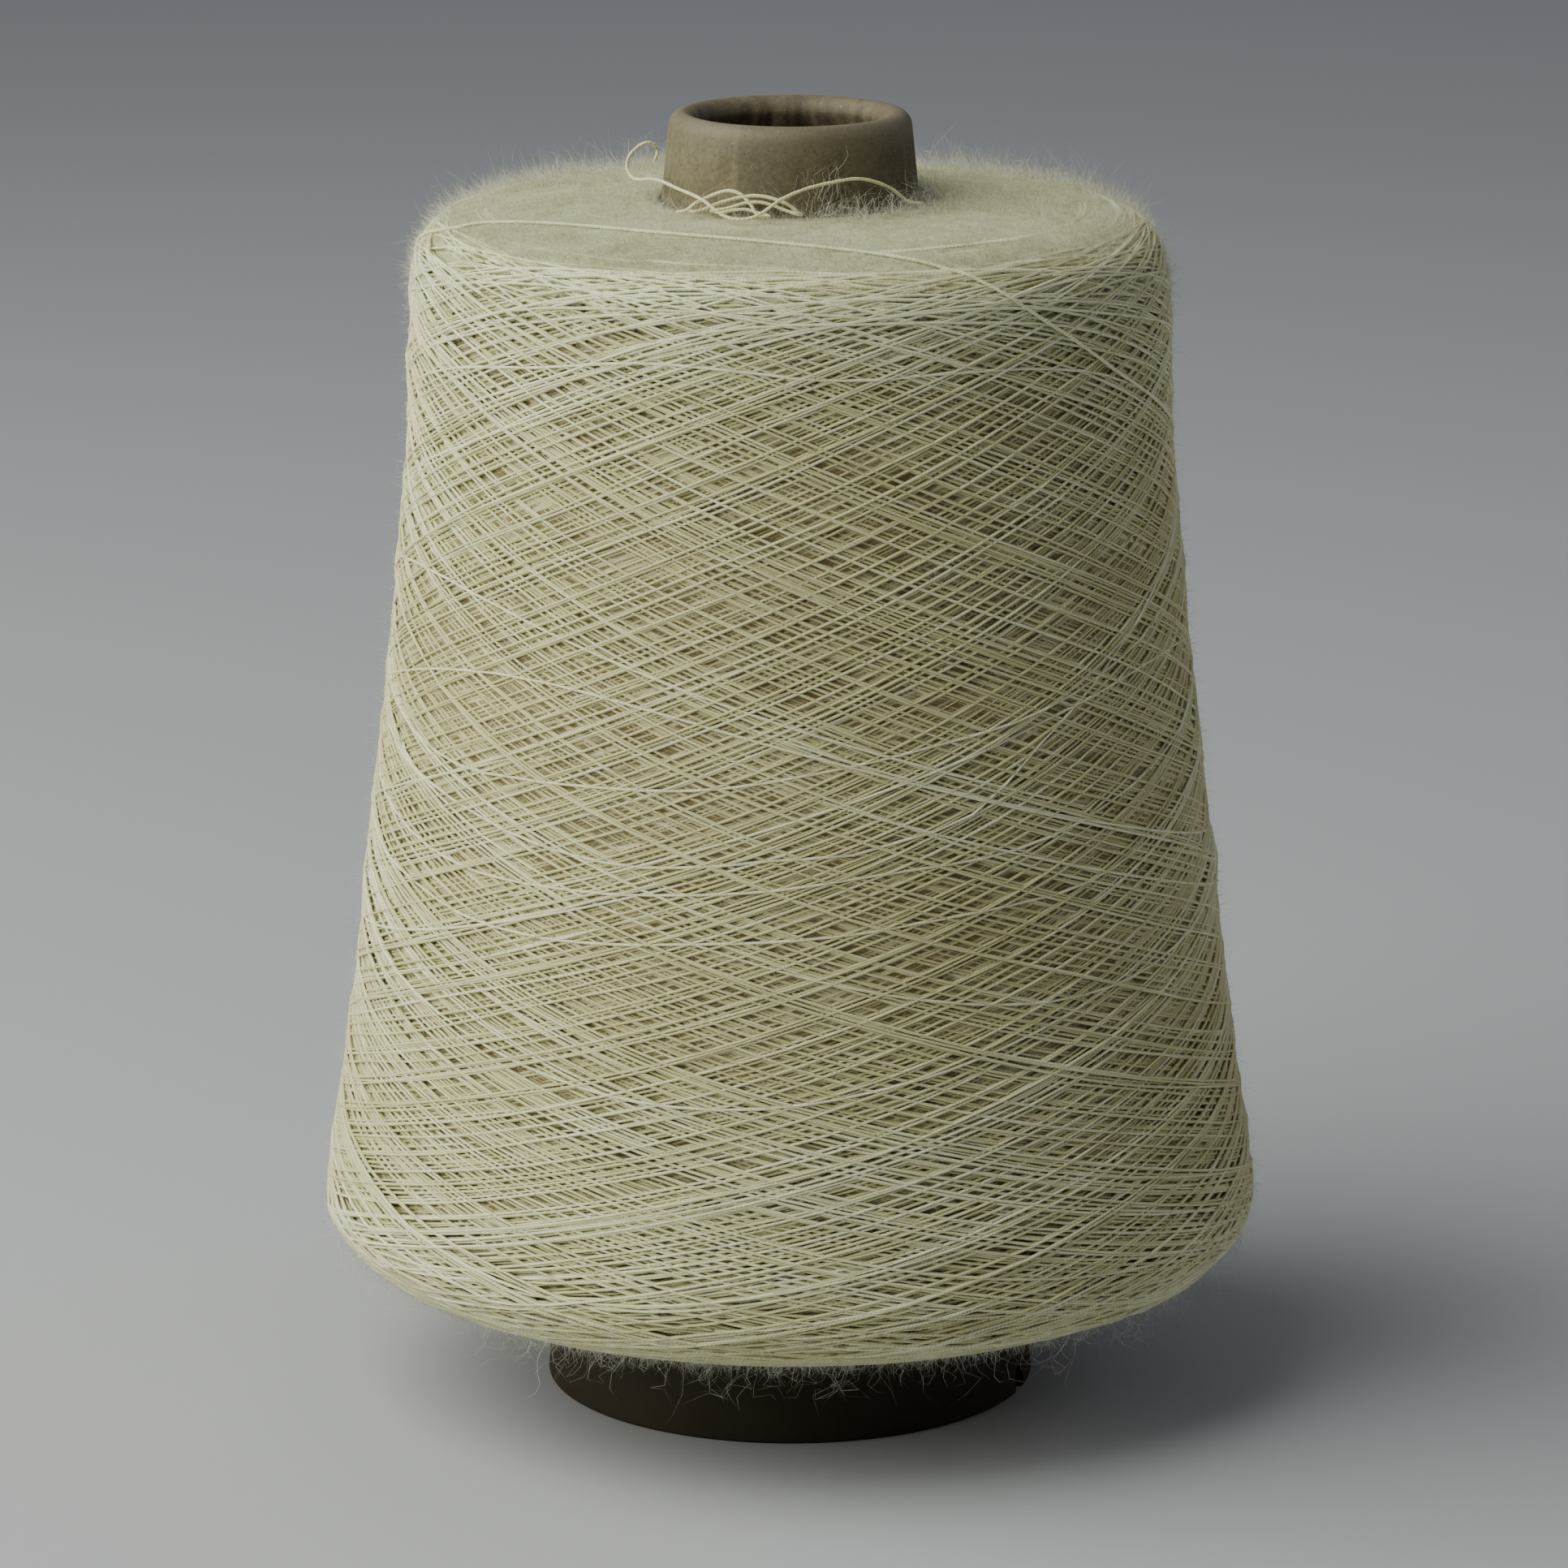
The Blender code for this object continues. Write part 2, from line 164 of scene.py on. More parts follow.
def meshPiece(name, points, faces, material, replaced, slot="yarn", uv=None, **values):
    # points in mm; faces is a list of index arrays, each with one row a face
    mesh = bpy.data.meshes.new(name)
    corners = np.concatenate([block.ravel() for block in faces]).astype(np.int32)
    sizes = np.concatenate([np.full(len(block), block.shape[1]) for block in faces])
    mesh.vertices.add(len(points))
    mesh.vertices.foreach_set("co", (points * mm).astype(np.float32).ravel())
    mesh.loops.add(len(corners))
    mesh.loops.foreach_set("vertex_index", corners)
    mesh.polygons.add(len(sizes))
    mesh.polygons.foreach_set("loop_start", (np.cumsum(sizes) - sizes).astype(np.int32))
    mesh.update(calc_edges=True)
    if uv is not None:
        layer = mesh.uv_layers.new(name="along")
        layer.data.foreach_set("uv", np.concatenate(
            [block.reshape(-1, 2) for block in uv]).astype(np.float32).ravel())
    for key, value in values.items():
        attribute = mesh.attributes.new(key, "FLOAT", "POINT")
        attribute.data.foreach_set("value", value.astype(np.float32))
    mesh.shade_smooth()
    mesh.materials.append(material)
    piece = put(name, mesh)
    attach(piece, "root")
    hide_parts(replaced)
    return piece


def ringFaces(firsts, sides):
    # the walls between each ring whose points start at these numbers and the ring after it
    corner = np.arange(sides)
    after = (corner + 1) % sides
    return np.stack([firsts + corner, firsts + after, firsts + sides + after,
                     firsts + sides + corner], axis=-1).reshape(-1, 4)


def wrappedFaces(columns, rows):
    # the faces of a grid of points that closes on itself both ways
    column = np.arange(columns)[:, None] * rows
    nextColumn = (np.arange(columns)[:, None] + 1) % columns * rows
    row = np.arange(rows)[None]
    nextRow = (row + 1) % rows
    return np.stack([column + row, column + nextRow, nextColumn + nextRow, nextColumn + row],
                    axis=-1).reshape(-1, 4)


def runStarts(runs):
    # where the number of the run changes
    return np.flatnonzero(np.concatenate([[True], runs[1:] != runs[:-1]]))


def sweptStrands(centres, outwards, runs, section):
    # A section carried along many paths at once: a ring's corner is its centre plus the section's
    # first number sideways (outwards x tangent) and its second number outwards. Rings of one run
    # are joined, its ends are capped, and the section may change from ring to ring.
    sides = section.shape[-2]
    joined = runs[1:] == runs[:-1]
    steps = np.where(joined[:, None], np.diff(centres, axis=0), 0.0)
    tangents = np.zeros_like(centres)
    tangents[:-1] += steps
    tangents[1:] += steps
    tangents = unit(tangents)
    sideways = unit(np.cross(outwards, tangents))
    upwards = np.cross(tangents, sideways)
    points = centres[:, None] + (
        section[..., :1] * sideways[:, None] + section[..., 1:] * upwards[:, None])

    # the UV map holds the place round the strand and the length along it
    along = runningSum(np.linalg.norm(steps, axis=1))
    walls = ringFaces(np.flatnonzero(joined)[:, None] * sides, sides)
    corner = np.arange(sides)
    wallUv = np.empty((joined.sum(), sides, 4, 2))
    wallUv[..., 0] = corner[:, None] / sides + np.array([0, 1, 1, 0]) / sides
    wallUv[..., 1] = np.stack([along[:-1]] * 2 + [along[1:]] * 2, axis=-1)[joined][:, None]

    firsts = runStarts(runs)
    lasts = np.append(firsts[1:], len(runs)) - 1
    caps = np.vstack([firsts[:, None] * sides + corner[::-1], lasts[:, None] * sides + corner])
    capUv = np.full((*caps.shape, 2), 0.5)
    capUv[..., 1] = along[np.append(firsts, lasts)][:, None]
    return points.reshape(-1, 3), [walls, caps], [wallUv, capUv]


hairShape = {
    "turns": (0.35, 0.9),         # that its curl makes over its length
    "manyBends": 3,               # with so many bends it turns further
    "furtherTurns": 1.6,
    "swing": (0.4, 1.0),          # share of the curl that one hair gets
    "taper": 0.55,                # share of its thickness that it loses
}


def hairs(roots, directions, lengths, thickness, bends, curl, droop=0.0):
    # Tapering three-sided hairs, all with the same number of bends. A point of a hair's path is its
    # root, plus its direction times the length so far, plus a circling curl and a fall that grows
    # with the square of that length. The last ring is one point.
    count = len(roots)
    share = np.linspace(0.0, 1.0, bends + 1)[None, :, None]
    directions = unit(directions)
    helper = unit(dice.normal(size=(count, 3)))
    sideways = unit(np.cross(directions, helper))
    across = np.cross(directions, sideways)
    phase = dice.uniform(0.0, math.tau, (count, 1, 1))
    turns = dice.uniform(*hairShape["turns"], (count, 1, 1)) * math.tau
    if bends >= hairShape["manyBends"]:
        turns = turns * hairShape["furtherTurns"]
    size = lengths[:, None, None]
    swing = curl * size * dice.uniform(*hairShape["swing"], (count, 1, 1)) * share
    path = (roots[:, None] + directions[:, None] * size * share
            + sideways[:, None] * swing * (np.cos(phase + turns * share) - np.cos(phase))
            + across[:, None] * swing * (np.sin(phase + turns * share) - np.sin(phase)))
    path[..., 2] -= (droop * size * share ** 2)[..., 0]
    angle = np.arange(3) * math.tau / 3
    taper = (thickness / 2 * (1.0 - hairShape["taper"] * share[:, :-1]))[..., None]
    rings = path[:, :-1, None] + taper * (
        np.cos(angle)[None, None, :, None] * sideways[:, None, None]
        + np.sin(angle)[None, None, :, None] * across[:, None, None])
    points = np.concatenate([rings.reshape(count, -1, 3), path[:, -1:]], axis=1)

    start = np.arange(count)[:, None, None] * (3 * bends + 1)
    walls = ringFaces(start + np.arange(bends - 1)[None, :, None] * 3, 3)
    corner = np.arange(3)[None, None]
    top = start + 3 * (bends - 1)
    tips = np.stack(np.broadcast_arrays(
        top + corner, top + (corner + 1) % 3, start + 3 * bends), -1).reshape(-1, 3)
    feet = (start[:, 0] + np.array([[2, 1, 0]])).reshape(-1, 3)
    return points.reshape(-1, 3), [walls, np.vstack([tips, feet])]


# metres and degrees: fitted to the outlines of the tube and the yarn
camera = {"distance": 0.9096, "height": 0.305, "pitch": 13.86, "lens": 163.06, "sensor": 36.0,
          "shiftX": -0.0039, "clipStart": 0.05}


def makeCamera():
    data = bpy.data.cameras.new("camera")
    data.lens = camera["lens"]
    data.sensor_width = camera["sensor"]
    data.shift_x = camera["shiftX"]
    data.clip_start = camera["clipStart"]
    eye = put("camera", data)
    eye.location = (0.0, -camera["distance"], camera["height"])
    eye.rotation_euler = (math.radians(90.0 - camera["pitch"]), 0.0, 0.0)
    bpy.context.scene.camera = eye


makeCamera()


def node(tree, kind, x, y, inputs=(), **settings):
    # inputs gives each socket its value, or the other node's output that feeds it
    made = tree.nodes.new("ShaderNode" + kind)
    made.location = (x, y)
    for key, value in settings.items():
        setattr(made, key, value)
    for key, value in dict(inputs).items():
        if isinstance(value, bpy.types.NodeSocket):
            tree.links.new(value, made.inputs[key])
        else:
            made.inputs[key].default_value = value
    return made.outputs


def maths(tree, operation, x, y, *values):
    return node(tree, "Math", x, y, enumerate(values), operation=operation)[0]


def mixed(tree, x, y, share, first, second, kind="FLOAT"):
    inputs = {"Factor": share, "A": first, "B": second}
    return node(tree, "Mix", x, y, inputs, data_type=kind)["Result"]


def noise(tree, x, y, vector, scale, detail, more=(), **settings):
    inputs = {"Vector": vector, "Scale": scale, "Detail": detail, **dict(more)}
    return node(tree, "TexNoise", x, y, inputs, **settings)["Fac"]


def ranged(tree, x, y, value, low, high, least=0.0, most=1.0, **settings):
    # the value from low to high becomes one from least to most
    inputs = {"Value": value, "From Min": low, "From Max": high, "To Min": least, "To Max": most}
    return node(tree, "MapRange", x, y, inputs, **settings)["Result"]


def ramp(tree, x, y, value, stops):
    made = tree.nodes.new("ShaderNodeValToRGB")
    made.location = (x, y)
    elements = made.color_ramp.elements
    while len(elements) < len(stops):
        elements.new(0.5)
    for element, (position, colour) in zip(elements, stops):
        element.position = position
        element.color = (*colour, 1.0)
    tree.links.new(value, made.inputs["Fac"])
    return made.outputs["Color"]


def grouped(tree, group, x, y, inputs):
    return node(tree, "Group", x, y, inputs, node_tree=group)


def newGroup(name, inputs, outputs):
    # an input without a value is a vector, and the rest are numbers
    group = bpy.data.node_groups.new(name, "ShaderNodeTree")
    for label, value in inputs.items():
        kind = "NodeSocketVector" if value is None else "NodeSocketFloat"
        socket = group.interface.new_socket(name=label, in_out="INPUT", socket_type=kind)
        if value is not None:
            socket.default_value = value
    for label in outputs:
        group.interface.new_socket(name=label, in_out="OUTPUT", socket_type="NodeSocketFloat")
    given = group.nodes.new("NodeGroupInput")
    given.location = (-1100, 0)
    result = group.nodes.new("NodeGroupOutput")
    result.location = (500, 0)
    return group, given.outputs, result.inputs


def deepTurnsGroup():
    # buried turns: noise drawn out along both winding directions, whichever is higher
    group, given, result = newGroup("deepTurns", {"Vector": None}, ["Turns"])
    meanRadius = 0.055
    parts = node(group, "SeparateXYZ", -900, 0, {0: given["Vector"]})
    azimuth = maths(group, "ARCTAN2", -700, 100, parts["Y"], parts["X"])
    around = maths(group, "MULTIPLY", -520, 100, azimuth, meanRadius)
    flat = node(group, "CombineXYZ", -340, 0, {"X": around, "Y": parts["Z"]})[0]
    turns = []
    for y, slope in ((150, 20.0), (-150, -20.0)):
        drawnOut = node(group, "Mapping", -160, y, {
            "Vector": flat, "Rotation": (0.0, 0.0, math.radians(slope)),
            "Scale": (25.0, 1.0, 1.0)}, vector_type="TEXTURE")[0]
        turns.append(noise(group, 50, y, drawnOut, 2600.0, 1.0))
    group.links.new(maths(group, "MAXIMUM", 260, 0, *turns), result["Turns"])
    return group


def patchyGroup():
    # broad uneven tone: two sizes of noise, mixed to a value round the middle
    group, given, result = newGroup(
        "patchyTone", {"Vector": None, "Scale": 60.0, "Strength": 0.5}, ["Tone"])
    fineScale = maths(group, "MULTIPLY", -760, -150, given["Scale"], 9.0)
    broad = noise(group, -600, 150, given["Vector"], given["Scale"], 3.0)
    fine = noise(group, -600, -150, given["Vector"], fineScale, 2.0)
    centred = maths(group, "SUBTRACT", -180, 0, maths(group, "ADD", -350, 0, broad, fine), 1.0)
    scaled = maths(group, "MULTIPLY", 0, 0, centred, given["Strength"])
    group.links.new(maths(group, "ADD", 180, 0, scaled, 0.5), result["Tone"])
    return group


def twistGroup():
    # the yarn's twist: slanting ridges from the place along and round the strand, roughened by noise
    group, given, result = newGroup(
        "spunTwist", {"Vector": None, "Turn Length": 1.1, "Roughness": 0.5}, ["Ridge"])
    parts = node(group, "SeparateXYZ", -720, 100, {0: given["Vector"]})
    turned = maths(group, "DIVIDE", -540, 0, parts["Y"], given["Turn Length"])
    phase = maths(group, "ADD", -380, 60, parts["X"], turned)
    wave = maths(group, "SINE", -60, 60, maths(group, "MULTIPLY", -220, 60, phase, 2 * math.tau))
    half = maths(group, "MULTIPLY_ADD", 90, 60, wave, 0.5, 0.5)
    stretched = node(group, "VectorMath", -540, -220, {0: given["Vector"], 1: (3.0, 1.2, 1.0)},
                     operation="MULTIPLY")[0]
    rough = noise(group, -360, -220, stretched, 2.4, 3.0)
    group.links.new(mixed(group, 280, 0, given["Roughness"], half, rough), result["Ridge"])
    return group


def boardGroup():
    # paper board: broad cloudiness, with masks for its dark and light flecks
    group, given, result = newGroup(
        "fleckedBoard", {"Vector": None, "Fleck Scale": 3400.0},
        ["Cloud", "Dark Flecks", "Light Flecks"])
    cloud = grouped(group, patchyTone, -500, 250, {
        "Vector": given["Vector"], "Scale": 170.0, "Strength": 0.9})
    group.links.new(cloud["Tone"], result["Cloud"])
    for y, label, seed, low, high in (
            (0, "Dark Flecks", 3.0, 0.63, 0.72), (-300, "Light Flecks", 7.0, 0.66, 0.74)):
        fleck = noise(group, -400, y, given["Vector"], given["Fleck Scale"], 2.5, {"W": seed},
                      noise_dimensions="4D")
        group.links.new(ranged(group, -150, y, fleck, low, high), result[label])
    return group


patchyTone = patchyGroup()
spunTwist = twistGroup()
fleckedBoard = boardGroup()
deepTurns = deepTurnsGroup()


def newMaterial(name, roughness, sheen=0.0):
    material = bpy.data.materials.new(name)
    material.use_nodes = True
    tree = material.node_tree
    shader = tree.nodes["Principled BSDF"]
    shader.location = (700, 0)
    tree.nodes["Material Output"].location = (1000, 0)
    for socket, value in (
            ("Roughness", roughness), ("Sheen Weight", sheen), ("Sheen Roughness", 0.5),
            ("Sheen Tint", (0.95, 0.94, 0.62, 1.0)), ("Specular IOR Level", 0.3)):
        shader.inputs[socket].default_value = value
    return material, tree, shader.inputs


def bumped(tree, x, y, height, strength, distance):
    inputs = {"Height": height, "Strength": strength, "Distance": distance}
    return node(tree, "Bump", x, y, inputs)["Normal"]


woolColours = {
    "dark": (0.56, 0.50, 0.225), "mid": (0.69, 0.67, 0.372), "light": (0.99, 0.985, 0.72),
}


def woolMaterial(name, twistBump, tintShare=0.6):
    # colour from the strand's tint, which also holds painted shade and light, the ridges of its
    # twist and a broad uneven tone
    material, tree, shader = newMaterial(name, roughness=0.88, sheen=0.2)
    along = node(tree, "UVMap", -900, 0, uv_map="along")["UV"]
    where = node(tree, "TexCoord", -900, -300)["Object"]
    ridge = grouped(tree, spunTwist, -680, 0, {"Vector": along})["Ridge"]
    patchy = grouped(tree, patchyTone, -680, -300, {
        "Vector": where, "Scale": 45.0, "Strength": 0.5})["Tone"]
    tint = node(tree, "Attribute", -680, 200, attribute_name="tint")["Fac"]
    tone = mixed(tree, -450, 100, 1.0 - tintShare, tint, ridge)
    colour = ramp(tree, -80, 0, mixed(tree, -270, 0, 0.3, tone, patchy), (
        (0.1, woolColours["dark"]), (0.5, woolColours["mid"]), (0.76, woolColours["light"])))
    tree.links.new(colour, shader["Base Color"])
    tree.links.new(bumped(tree, 250, -250, ridge, twistBump, 0.00006), shader["Normal"])
    return material


def hairMaterial(name, dark, light):
    # fine fibres: colour between two tones by the hair's own tint
    material, tree, shader = newMaterial(name, roughness=0.6, sheen=0.4)
    tint = node(tree, "Attribute", -400, 0, attribute_name="tint")["Fac"]
    tree.links.new(ramp(tree, -150, 0, tint, ((0.0, dark), (1.0, light))), shader["Base Color"])
    return material


feltFrom = (0.1495, 0.1535)       # height in metres over which the side's look becomes the top's


def buriedWoolMaterial():
    # what shows between the turns: in the side, dark brown painted shade with paler buried turns in
    # it;
    # on the top, pale mottled felt, held darker than the wool as painted shade on the top face
    material, tree, shader = newMaterial("buriedWool", roughness=0.95, sheen=0.3)
    where = node(tree, "TexCoord", -1100, 0)["Object"]
    patchy = grouped(tree, patchyTone, -700, -250, {
        "Vector": where, "Scale": 60.0, "Strength": 0.8})["Tone"]
    fibres = noise(tree, -700, 150, where, 1300.0, 5.0, {"Roughness": 0.7, "Distortion": 1.2})
    turns = grouped(tree, deepTurns, -480, 250, {"Vector": where})["Turns"]
    height = node(tree, "SeparateXYZ", -700, -550, {0: where})["Z"]
    onTop = ranged(tree, -480, -550, height, *feltFrom, interpolation_type="SMOOTHSTEP")
    # painted shade: the dark stop stands for the shade deep between the turns
    deep = ramp(tree, -280, 250, turns, (
        (0.50, (0.185, 0.145, 0.055)), (0.69, (0.76, 0.72, 0.45))))
    # painted shade: the felt is held darker than the wool to dim the top face; its mottling is its
    # own
    felted = ramp(tree, -280, -150, mixed(tree, -480, 0, 0.4, fibres, patchy), (
        (0.40, (0.37, 0.365, 0.20)), (0.62, (0.66, 0.66, 0.42))))
    tree.links.new(mixed(tree, 50, 50, onTop, deep, felted, "RGBA"), shader["Base Color"])
    relief = mixed(tree, 50, -250, onTop, turns, fibres)
    tree.links.new(bumped(tree, 250, -250, relief, 0.9, 0.0003), shader["Normal"])
    return material


boardColours = {
    "deep": (0.023, 0.0145, 0.0055), "dark": (0.148, 0.125, 0.072), "light": (0.24, 0.21, 0.13),
    "boreDark": (0.105, 0.077, 0.042), "boreLight": (0.19, 0.15, 0.09),
    "darkFleck": (0.05, 0.038, 0.022), "lightFleck": (0.45, 0.41, 0.28),
    "burnished": (0.19, 0.168, 0.11),
}
boardWearAndShade = {
    "lip": (0.1655, 0.1690),      # heights in metres between which it is rubbed, and darkened with painted shade
    "foot": (0.032, 0.006),
    # how much of the deep tone the painted shade lays on the foot
    "paintedFootShade": 0.96,
    "streaks": (0.45, 0.62),      # of the noise that draws them
    "seamBlur": 1.5,              # degrees
}


def boardMaterial(name, dark, light, lipShine, streaks, outerWrap):
    # flecked board, darker past its seam; its lip is rubbed greyer, and its foot darkened by painted
    # shade
    material, tree, shader = newMaterial(name, roughness=0.7)
    where = node(tree, "TexCoord", -1100, 0)["Object"]
    board = grouped(tree, fleckedBoard, -850, 0, {"Vector": where})
    colour = ramp(tree, -750, 200, board["Cloud"], (
        (0.25, boardColours[dark]), (0.75, boardColours[light])))
    upright = node(tree, "Mapping", -1100, -400, {
        "Vector": where, "Scale": (1.0, 1.0, 0.08)})["Vector"]
    streaked = ranged(tree, -600, -400, noise(tree, -850, -400, upright, 520.0, 3.0),
                      *boardWearAndShade["streaks"], most=streaks)
    parts = node(tree, "SeparateXYZ", -850, -650, {0: where})
    rubbed = ranged(tree, -600, -650, parts["Z"], *boardWearAndShade["lip"], most=lipShine,
                    interpolation_type="SMOOTHSTEP")
    # painted shade: the board darkens to near black towards its foot
    paintedFootShade = ranged(tree, -600, -900, parts["Z"], *boardWearAndShade["foot"], most=boardWearAndShade["paintedFootShade"],
                    interpolation_type="SMOOTHSTEP")
    minusY = maths(tree, "MULTIPLY", -850, -1150, parts["Y"], -1.0)
    azimuth = maths(tree, "ARCTAN2", -600, -1150, parts["X"], minusY)
    pastSeam = ranged(tree, -350, -1150, azimuth,
                      math.radians(tube["seamAzimuth"] - boardWearAndShade["seamBlur"]),
                      math.radians(tube["seamAzimuth"] + boardWearAndShade["seamBlur"]), most=outerWrap)
    for x, mask, over in (
            (-550, pastSeam, "deep"), (-350, streaked, "deep"), (-150, rubbed, "burnished"),
            (50, board["Light Flecks"], "lightFleck"), (250, board["Dark Flecks"], "darkFleck"),
            (450, paintedFootShade, "deep")):
        colour = mixed(tree, x, 200, mask, colour, (*boardColours[over], 1.0), "RGBA")
    tree.links.new(colour, shader["Base Color"])
    roughness = ranged(tree, 50, -300, rubbed, 0.0, 1.0, least=0.72, most=0.42)
    tree.links.new(roughness, shader["Roughness"])
    relief = maths(tree, "ADD", 50, -550, board["Cloud"], board["Light Flecks"])
    tree.links.new(bumped(tree, 250, -550, relief, 0.5, 0.00012), shader["Normal"])
    return material


woundWool = woolMaterial("woundWool", twistBump=0.6)
looseWool = woolMaterial("looseWool", twistBump=0.9, tintShare=0.4)
buriedWool = buriedWoolMaterial()
fineHair = hairMaterial("fineHair", (0.50, 0.48, 0.29), (0.93, 0.93, 0.76))
greyHair = hairMaterial("greyHair", (0.55, 0.52, 0.42), (0.95, 0.94, 0.88))
tubeBoard = boardMaterial(
    "tubeBoard", "dark", "light", lipShine=0.6, streaks=0.15, outerWrap=0.36)
boreBoard = boardMaterial(
    "boreBoard", "boreDark", "boreLight", lipShine=0.5, streaks=0.8, outerWrap=0.0)
report("materials")


looseStrand = {
    "diameter": 0.5,              # of the yarn; it is drawn a little thinner, with hairs besides
    "drawn": 0.45, "spacing": 0.45, "sides": 10,
    "twistLength": 2.2, "lobes": 0.07, "lobeMean": 0.4,
    "slubs": 0.05, "slubPace": 0.9, "slubShift": 9.0,
    "lean": 0.35,                 # of the section's upward side, away from the tube
}

# azimuth in degrees, distance from the tube and height
looseEndRoute = (
    (61.0, 2.6, 159.45), (58.6, 2.0, 159.5), (55.3, 1.5, 159.95), (48.5, 1.2, 161.5),
    (40.5, 1.1, 162.65), (29.6, 1.2, 163.5), (16.6, 1.6, 163.3), (5.1, 2.7, 162.7),
    (-3.6, 4.1, 161.6), (-9.6, 5.4, 160.1), (-13.7, 6.0, 159.5), (-18.4, 6.3, 159.45),
    (-21.9, 6.2, 159.8), (-29.6, 5.8, 161.4), (-45.4, 4.0, 162.2), (-60.0, 2.9, 162.4),
    (-74.2, 2.5, 161.9), (-86.0, 2.9, 161.2), (-93.5, 4.0, 161.1), (-96.5, 4.9, 162.2),
    (-97.5, 4.8, 163.6), (-99.0, 3.7, 164.9), (-101.0, 2.5, 165.3), (-103.0, 1.5, 164.3),
    (-102.0, 1.6, 162.9),
)
slackLoopsRoute = (
    (-41.2, 5.2, 159.45), (-37.4, 5.0, 159.8), (-34.6, 4.8, 160.7), (-30.1, 4.6, 161.6),
    (-22.6, 4.4, 162.6), (-17.7, 4.4, 162.3), (-13.7, 4.5, 161.0), (-11.4, 4.7, 159.9),
    (-8.8, 4.6, 159.45), (-7.4, 3.7, 159.45), (-9.4, 2.8, 159.5), (-13.1, 2.6, 159.8),
    (-17.3, 2.6, 160.1), (-22.2, 2.6, 159.9), (-27.0, 2.6, 159.5), (-31.2, 2.2, 159.45),
    (-33.4, 1.5, 159.45), (-31.6, 0.8, 159.5), (-28.0, 0.7, 159.7), (-18.7, 0.7, 160.6),
    (-13.0, 0.7, 160.75), (-7.4, 0.7, 160.4), (-2.9, 0.8, 159.9), (1.8, 1.2, 159.5),
    (4.4, 2.0, 159.5), (3.0, 2.8, 159.8), (0.2, 2.9, 160.7), (-5.3, 2.9, 161.5),
    (-12.2, 2.8, 161.9), (-19.3, 2.7, 161.6), (-28.6, 2.8, 160.6), (-33.5, 3.2, 159.8),
    (-37.0, 3.6, 159.45), (-40.0, 3.5, 159.45),
)


def besideTube(rows):
    # a smooth line through places whose radius is the tube's plus their distance from it
    azimuth, fromTube, height = np.array(rows).T
    return smoothCurve(place(np.radians(azimuth), tubeRadius(height) + fromTube, height))


def twistedStrand(name, line, tint, replaced):
    # A two-ply section carried along the line. Its radius is half the thickness times one plus a
    # wave that goes twice round and turns with the length, and a slow wave along the strand.
    centres = evenlySpaced(line, looseStrand["spacing"])
    distances = lengthsAlong(centres)
    outwards = np.tile([0.0, 0.0, 1.0], (len(centres), 1)) + looseStrand["lean"] * unit(place(
        np.arctan2(centres[:, 0], -centres[:, 1]), 1.0, 0.0))
    angle = np.arange(looseStrand["sides"]) * math.tau / looseStrand["sides"]
    turned = math.tau * distances[:, None] / looseStrand["twistLength"]
    lobes = looseStrand["lobes"] * (np.cos(2 * angle[None] + turned) - looseStrand["lobeMean"])
    slubs = looseStrand["slubs"] * np.sin(
        distances * looseStrand["slubPace"] + tint * looseStrand["slubShift"])
    radius = looseStrand["drawn"] / 2 * (1.0 + lobes + slubs[:, None])
    section = np.stack([radius * np.cos(angle), radius * np.sin(angle)], axis=-1)
    points, faces, uv = sweptStrands(centres, outwards, np.zeros(len(centres)), section)
    piece = meshPiece(name, points, faces, looseWool, replaced, uv=uv,
                      tint=np.full(len(points), tint))
    return piece, centres


for name, route, tint, solid, farEnd in (
        ("loose_end_yarn", looseEndRoute, 0.75, "loose_end", "bare"),
        ("slack_loops_yarn", slackLoopsRoute, 0.7, "slack_loops", "object")):
    piece, line = twistedStrand(name, besideTube(route), tint, solid)
    print(f"{name}: {lengthsAlong(line)[-1]:.1f} mm long")
report("camera and cords")


def tubeSection():
    # radius and height round the section: foot, bore upwards, rolled lip, outer wall downwards
    edge, wall, lip = tube["baseRounding"], tube["wall"], tube["lipThickness"]
    outer = tubeRadius(edge)
    quarter = np.linspace(0.0, math.pi / 2, tube["roundingRows"])
    rollHeight = tube["height"] - tube["lipRoll"]
    rollMiddle = tubeRadius(rollHeight) - lip / 2
    lipFoot = tube["height"] - tube["lipDepth"]
    upwards = np.linspace(0.0, 1.0, tube["boreRows"])[1:] ** tube["boreSpread"]
    downwards = np.linspace(0.0, 1.0, tube["wallRows"])[1:-1] ** tube["wallSpread"]
    bore = edge + (lipFoot - edge) * upwards
    down = rollHeight + (edge - rollHeight) * downwards
    underLip = np.linspace(0.0, 1.0, tube["underLipRows"])[1:-1]
    over = np.linspace(math.pi, 0.0, tube["lipRows"])
    footRadius = tubeRadius(lipFoot) - wall
    return np.vstack([
        np.stack([outer - edge + edge * np.cos(quarter), edge - edge * np.sin(quarter)], 1),
        np.stack([outer - wall + edge - edge * np.sin(quarter), edge - edge * np.cos(quarter)], 1),
        np.stack([tubeRadius(bore) - wall, bore], 1),
        np.stack([footRadius + (rollMiddle - lip / 2 - footRadius) * underLip,
                  lipFoot + (rollHeight - lipFoot) * underLip], 1),
        np.stack([rollMiddle + lip / 2 * np.cos(over),
                  rollHeight + tube["lipRoll"] * np.sin(over)], 1),
        np.stack([tubeRadius(down), down], 1),
    ])


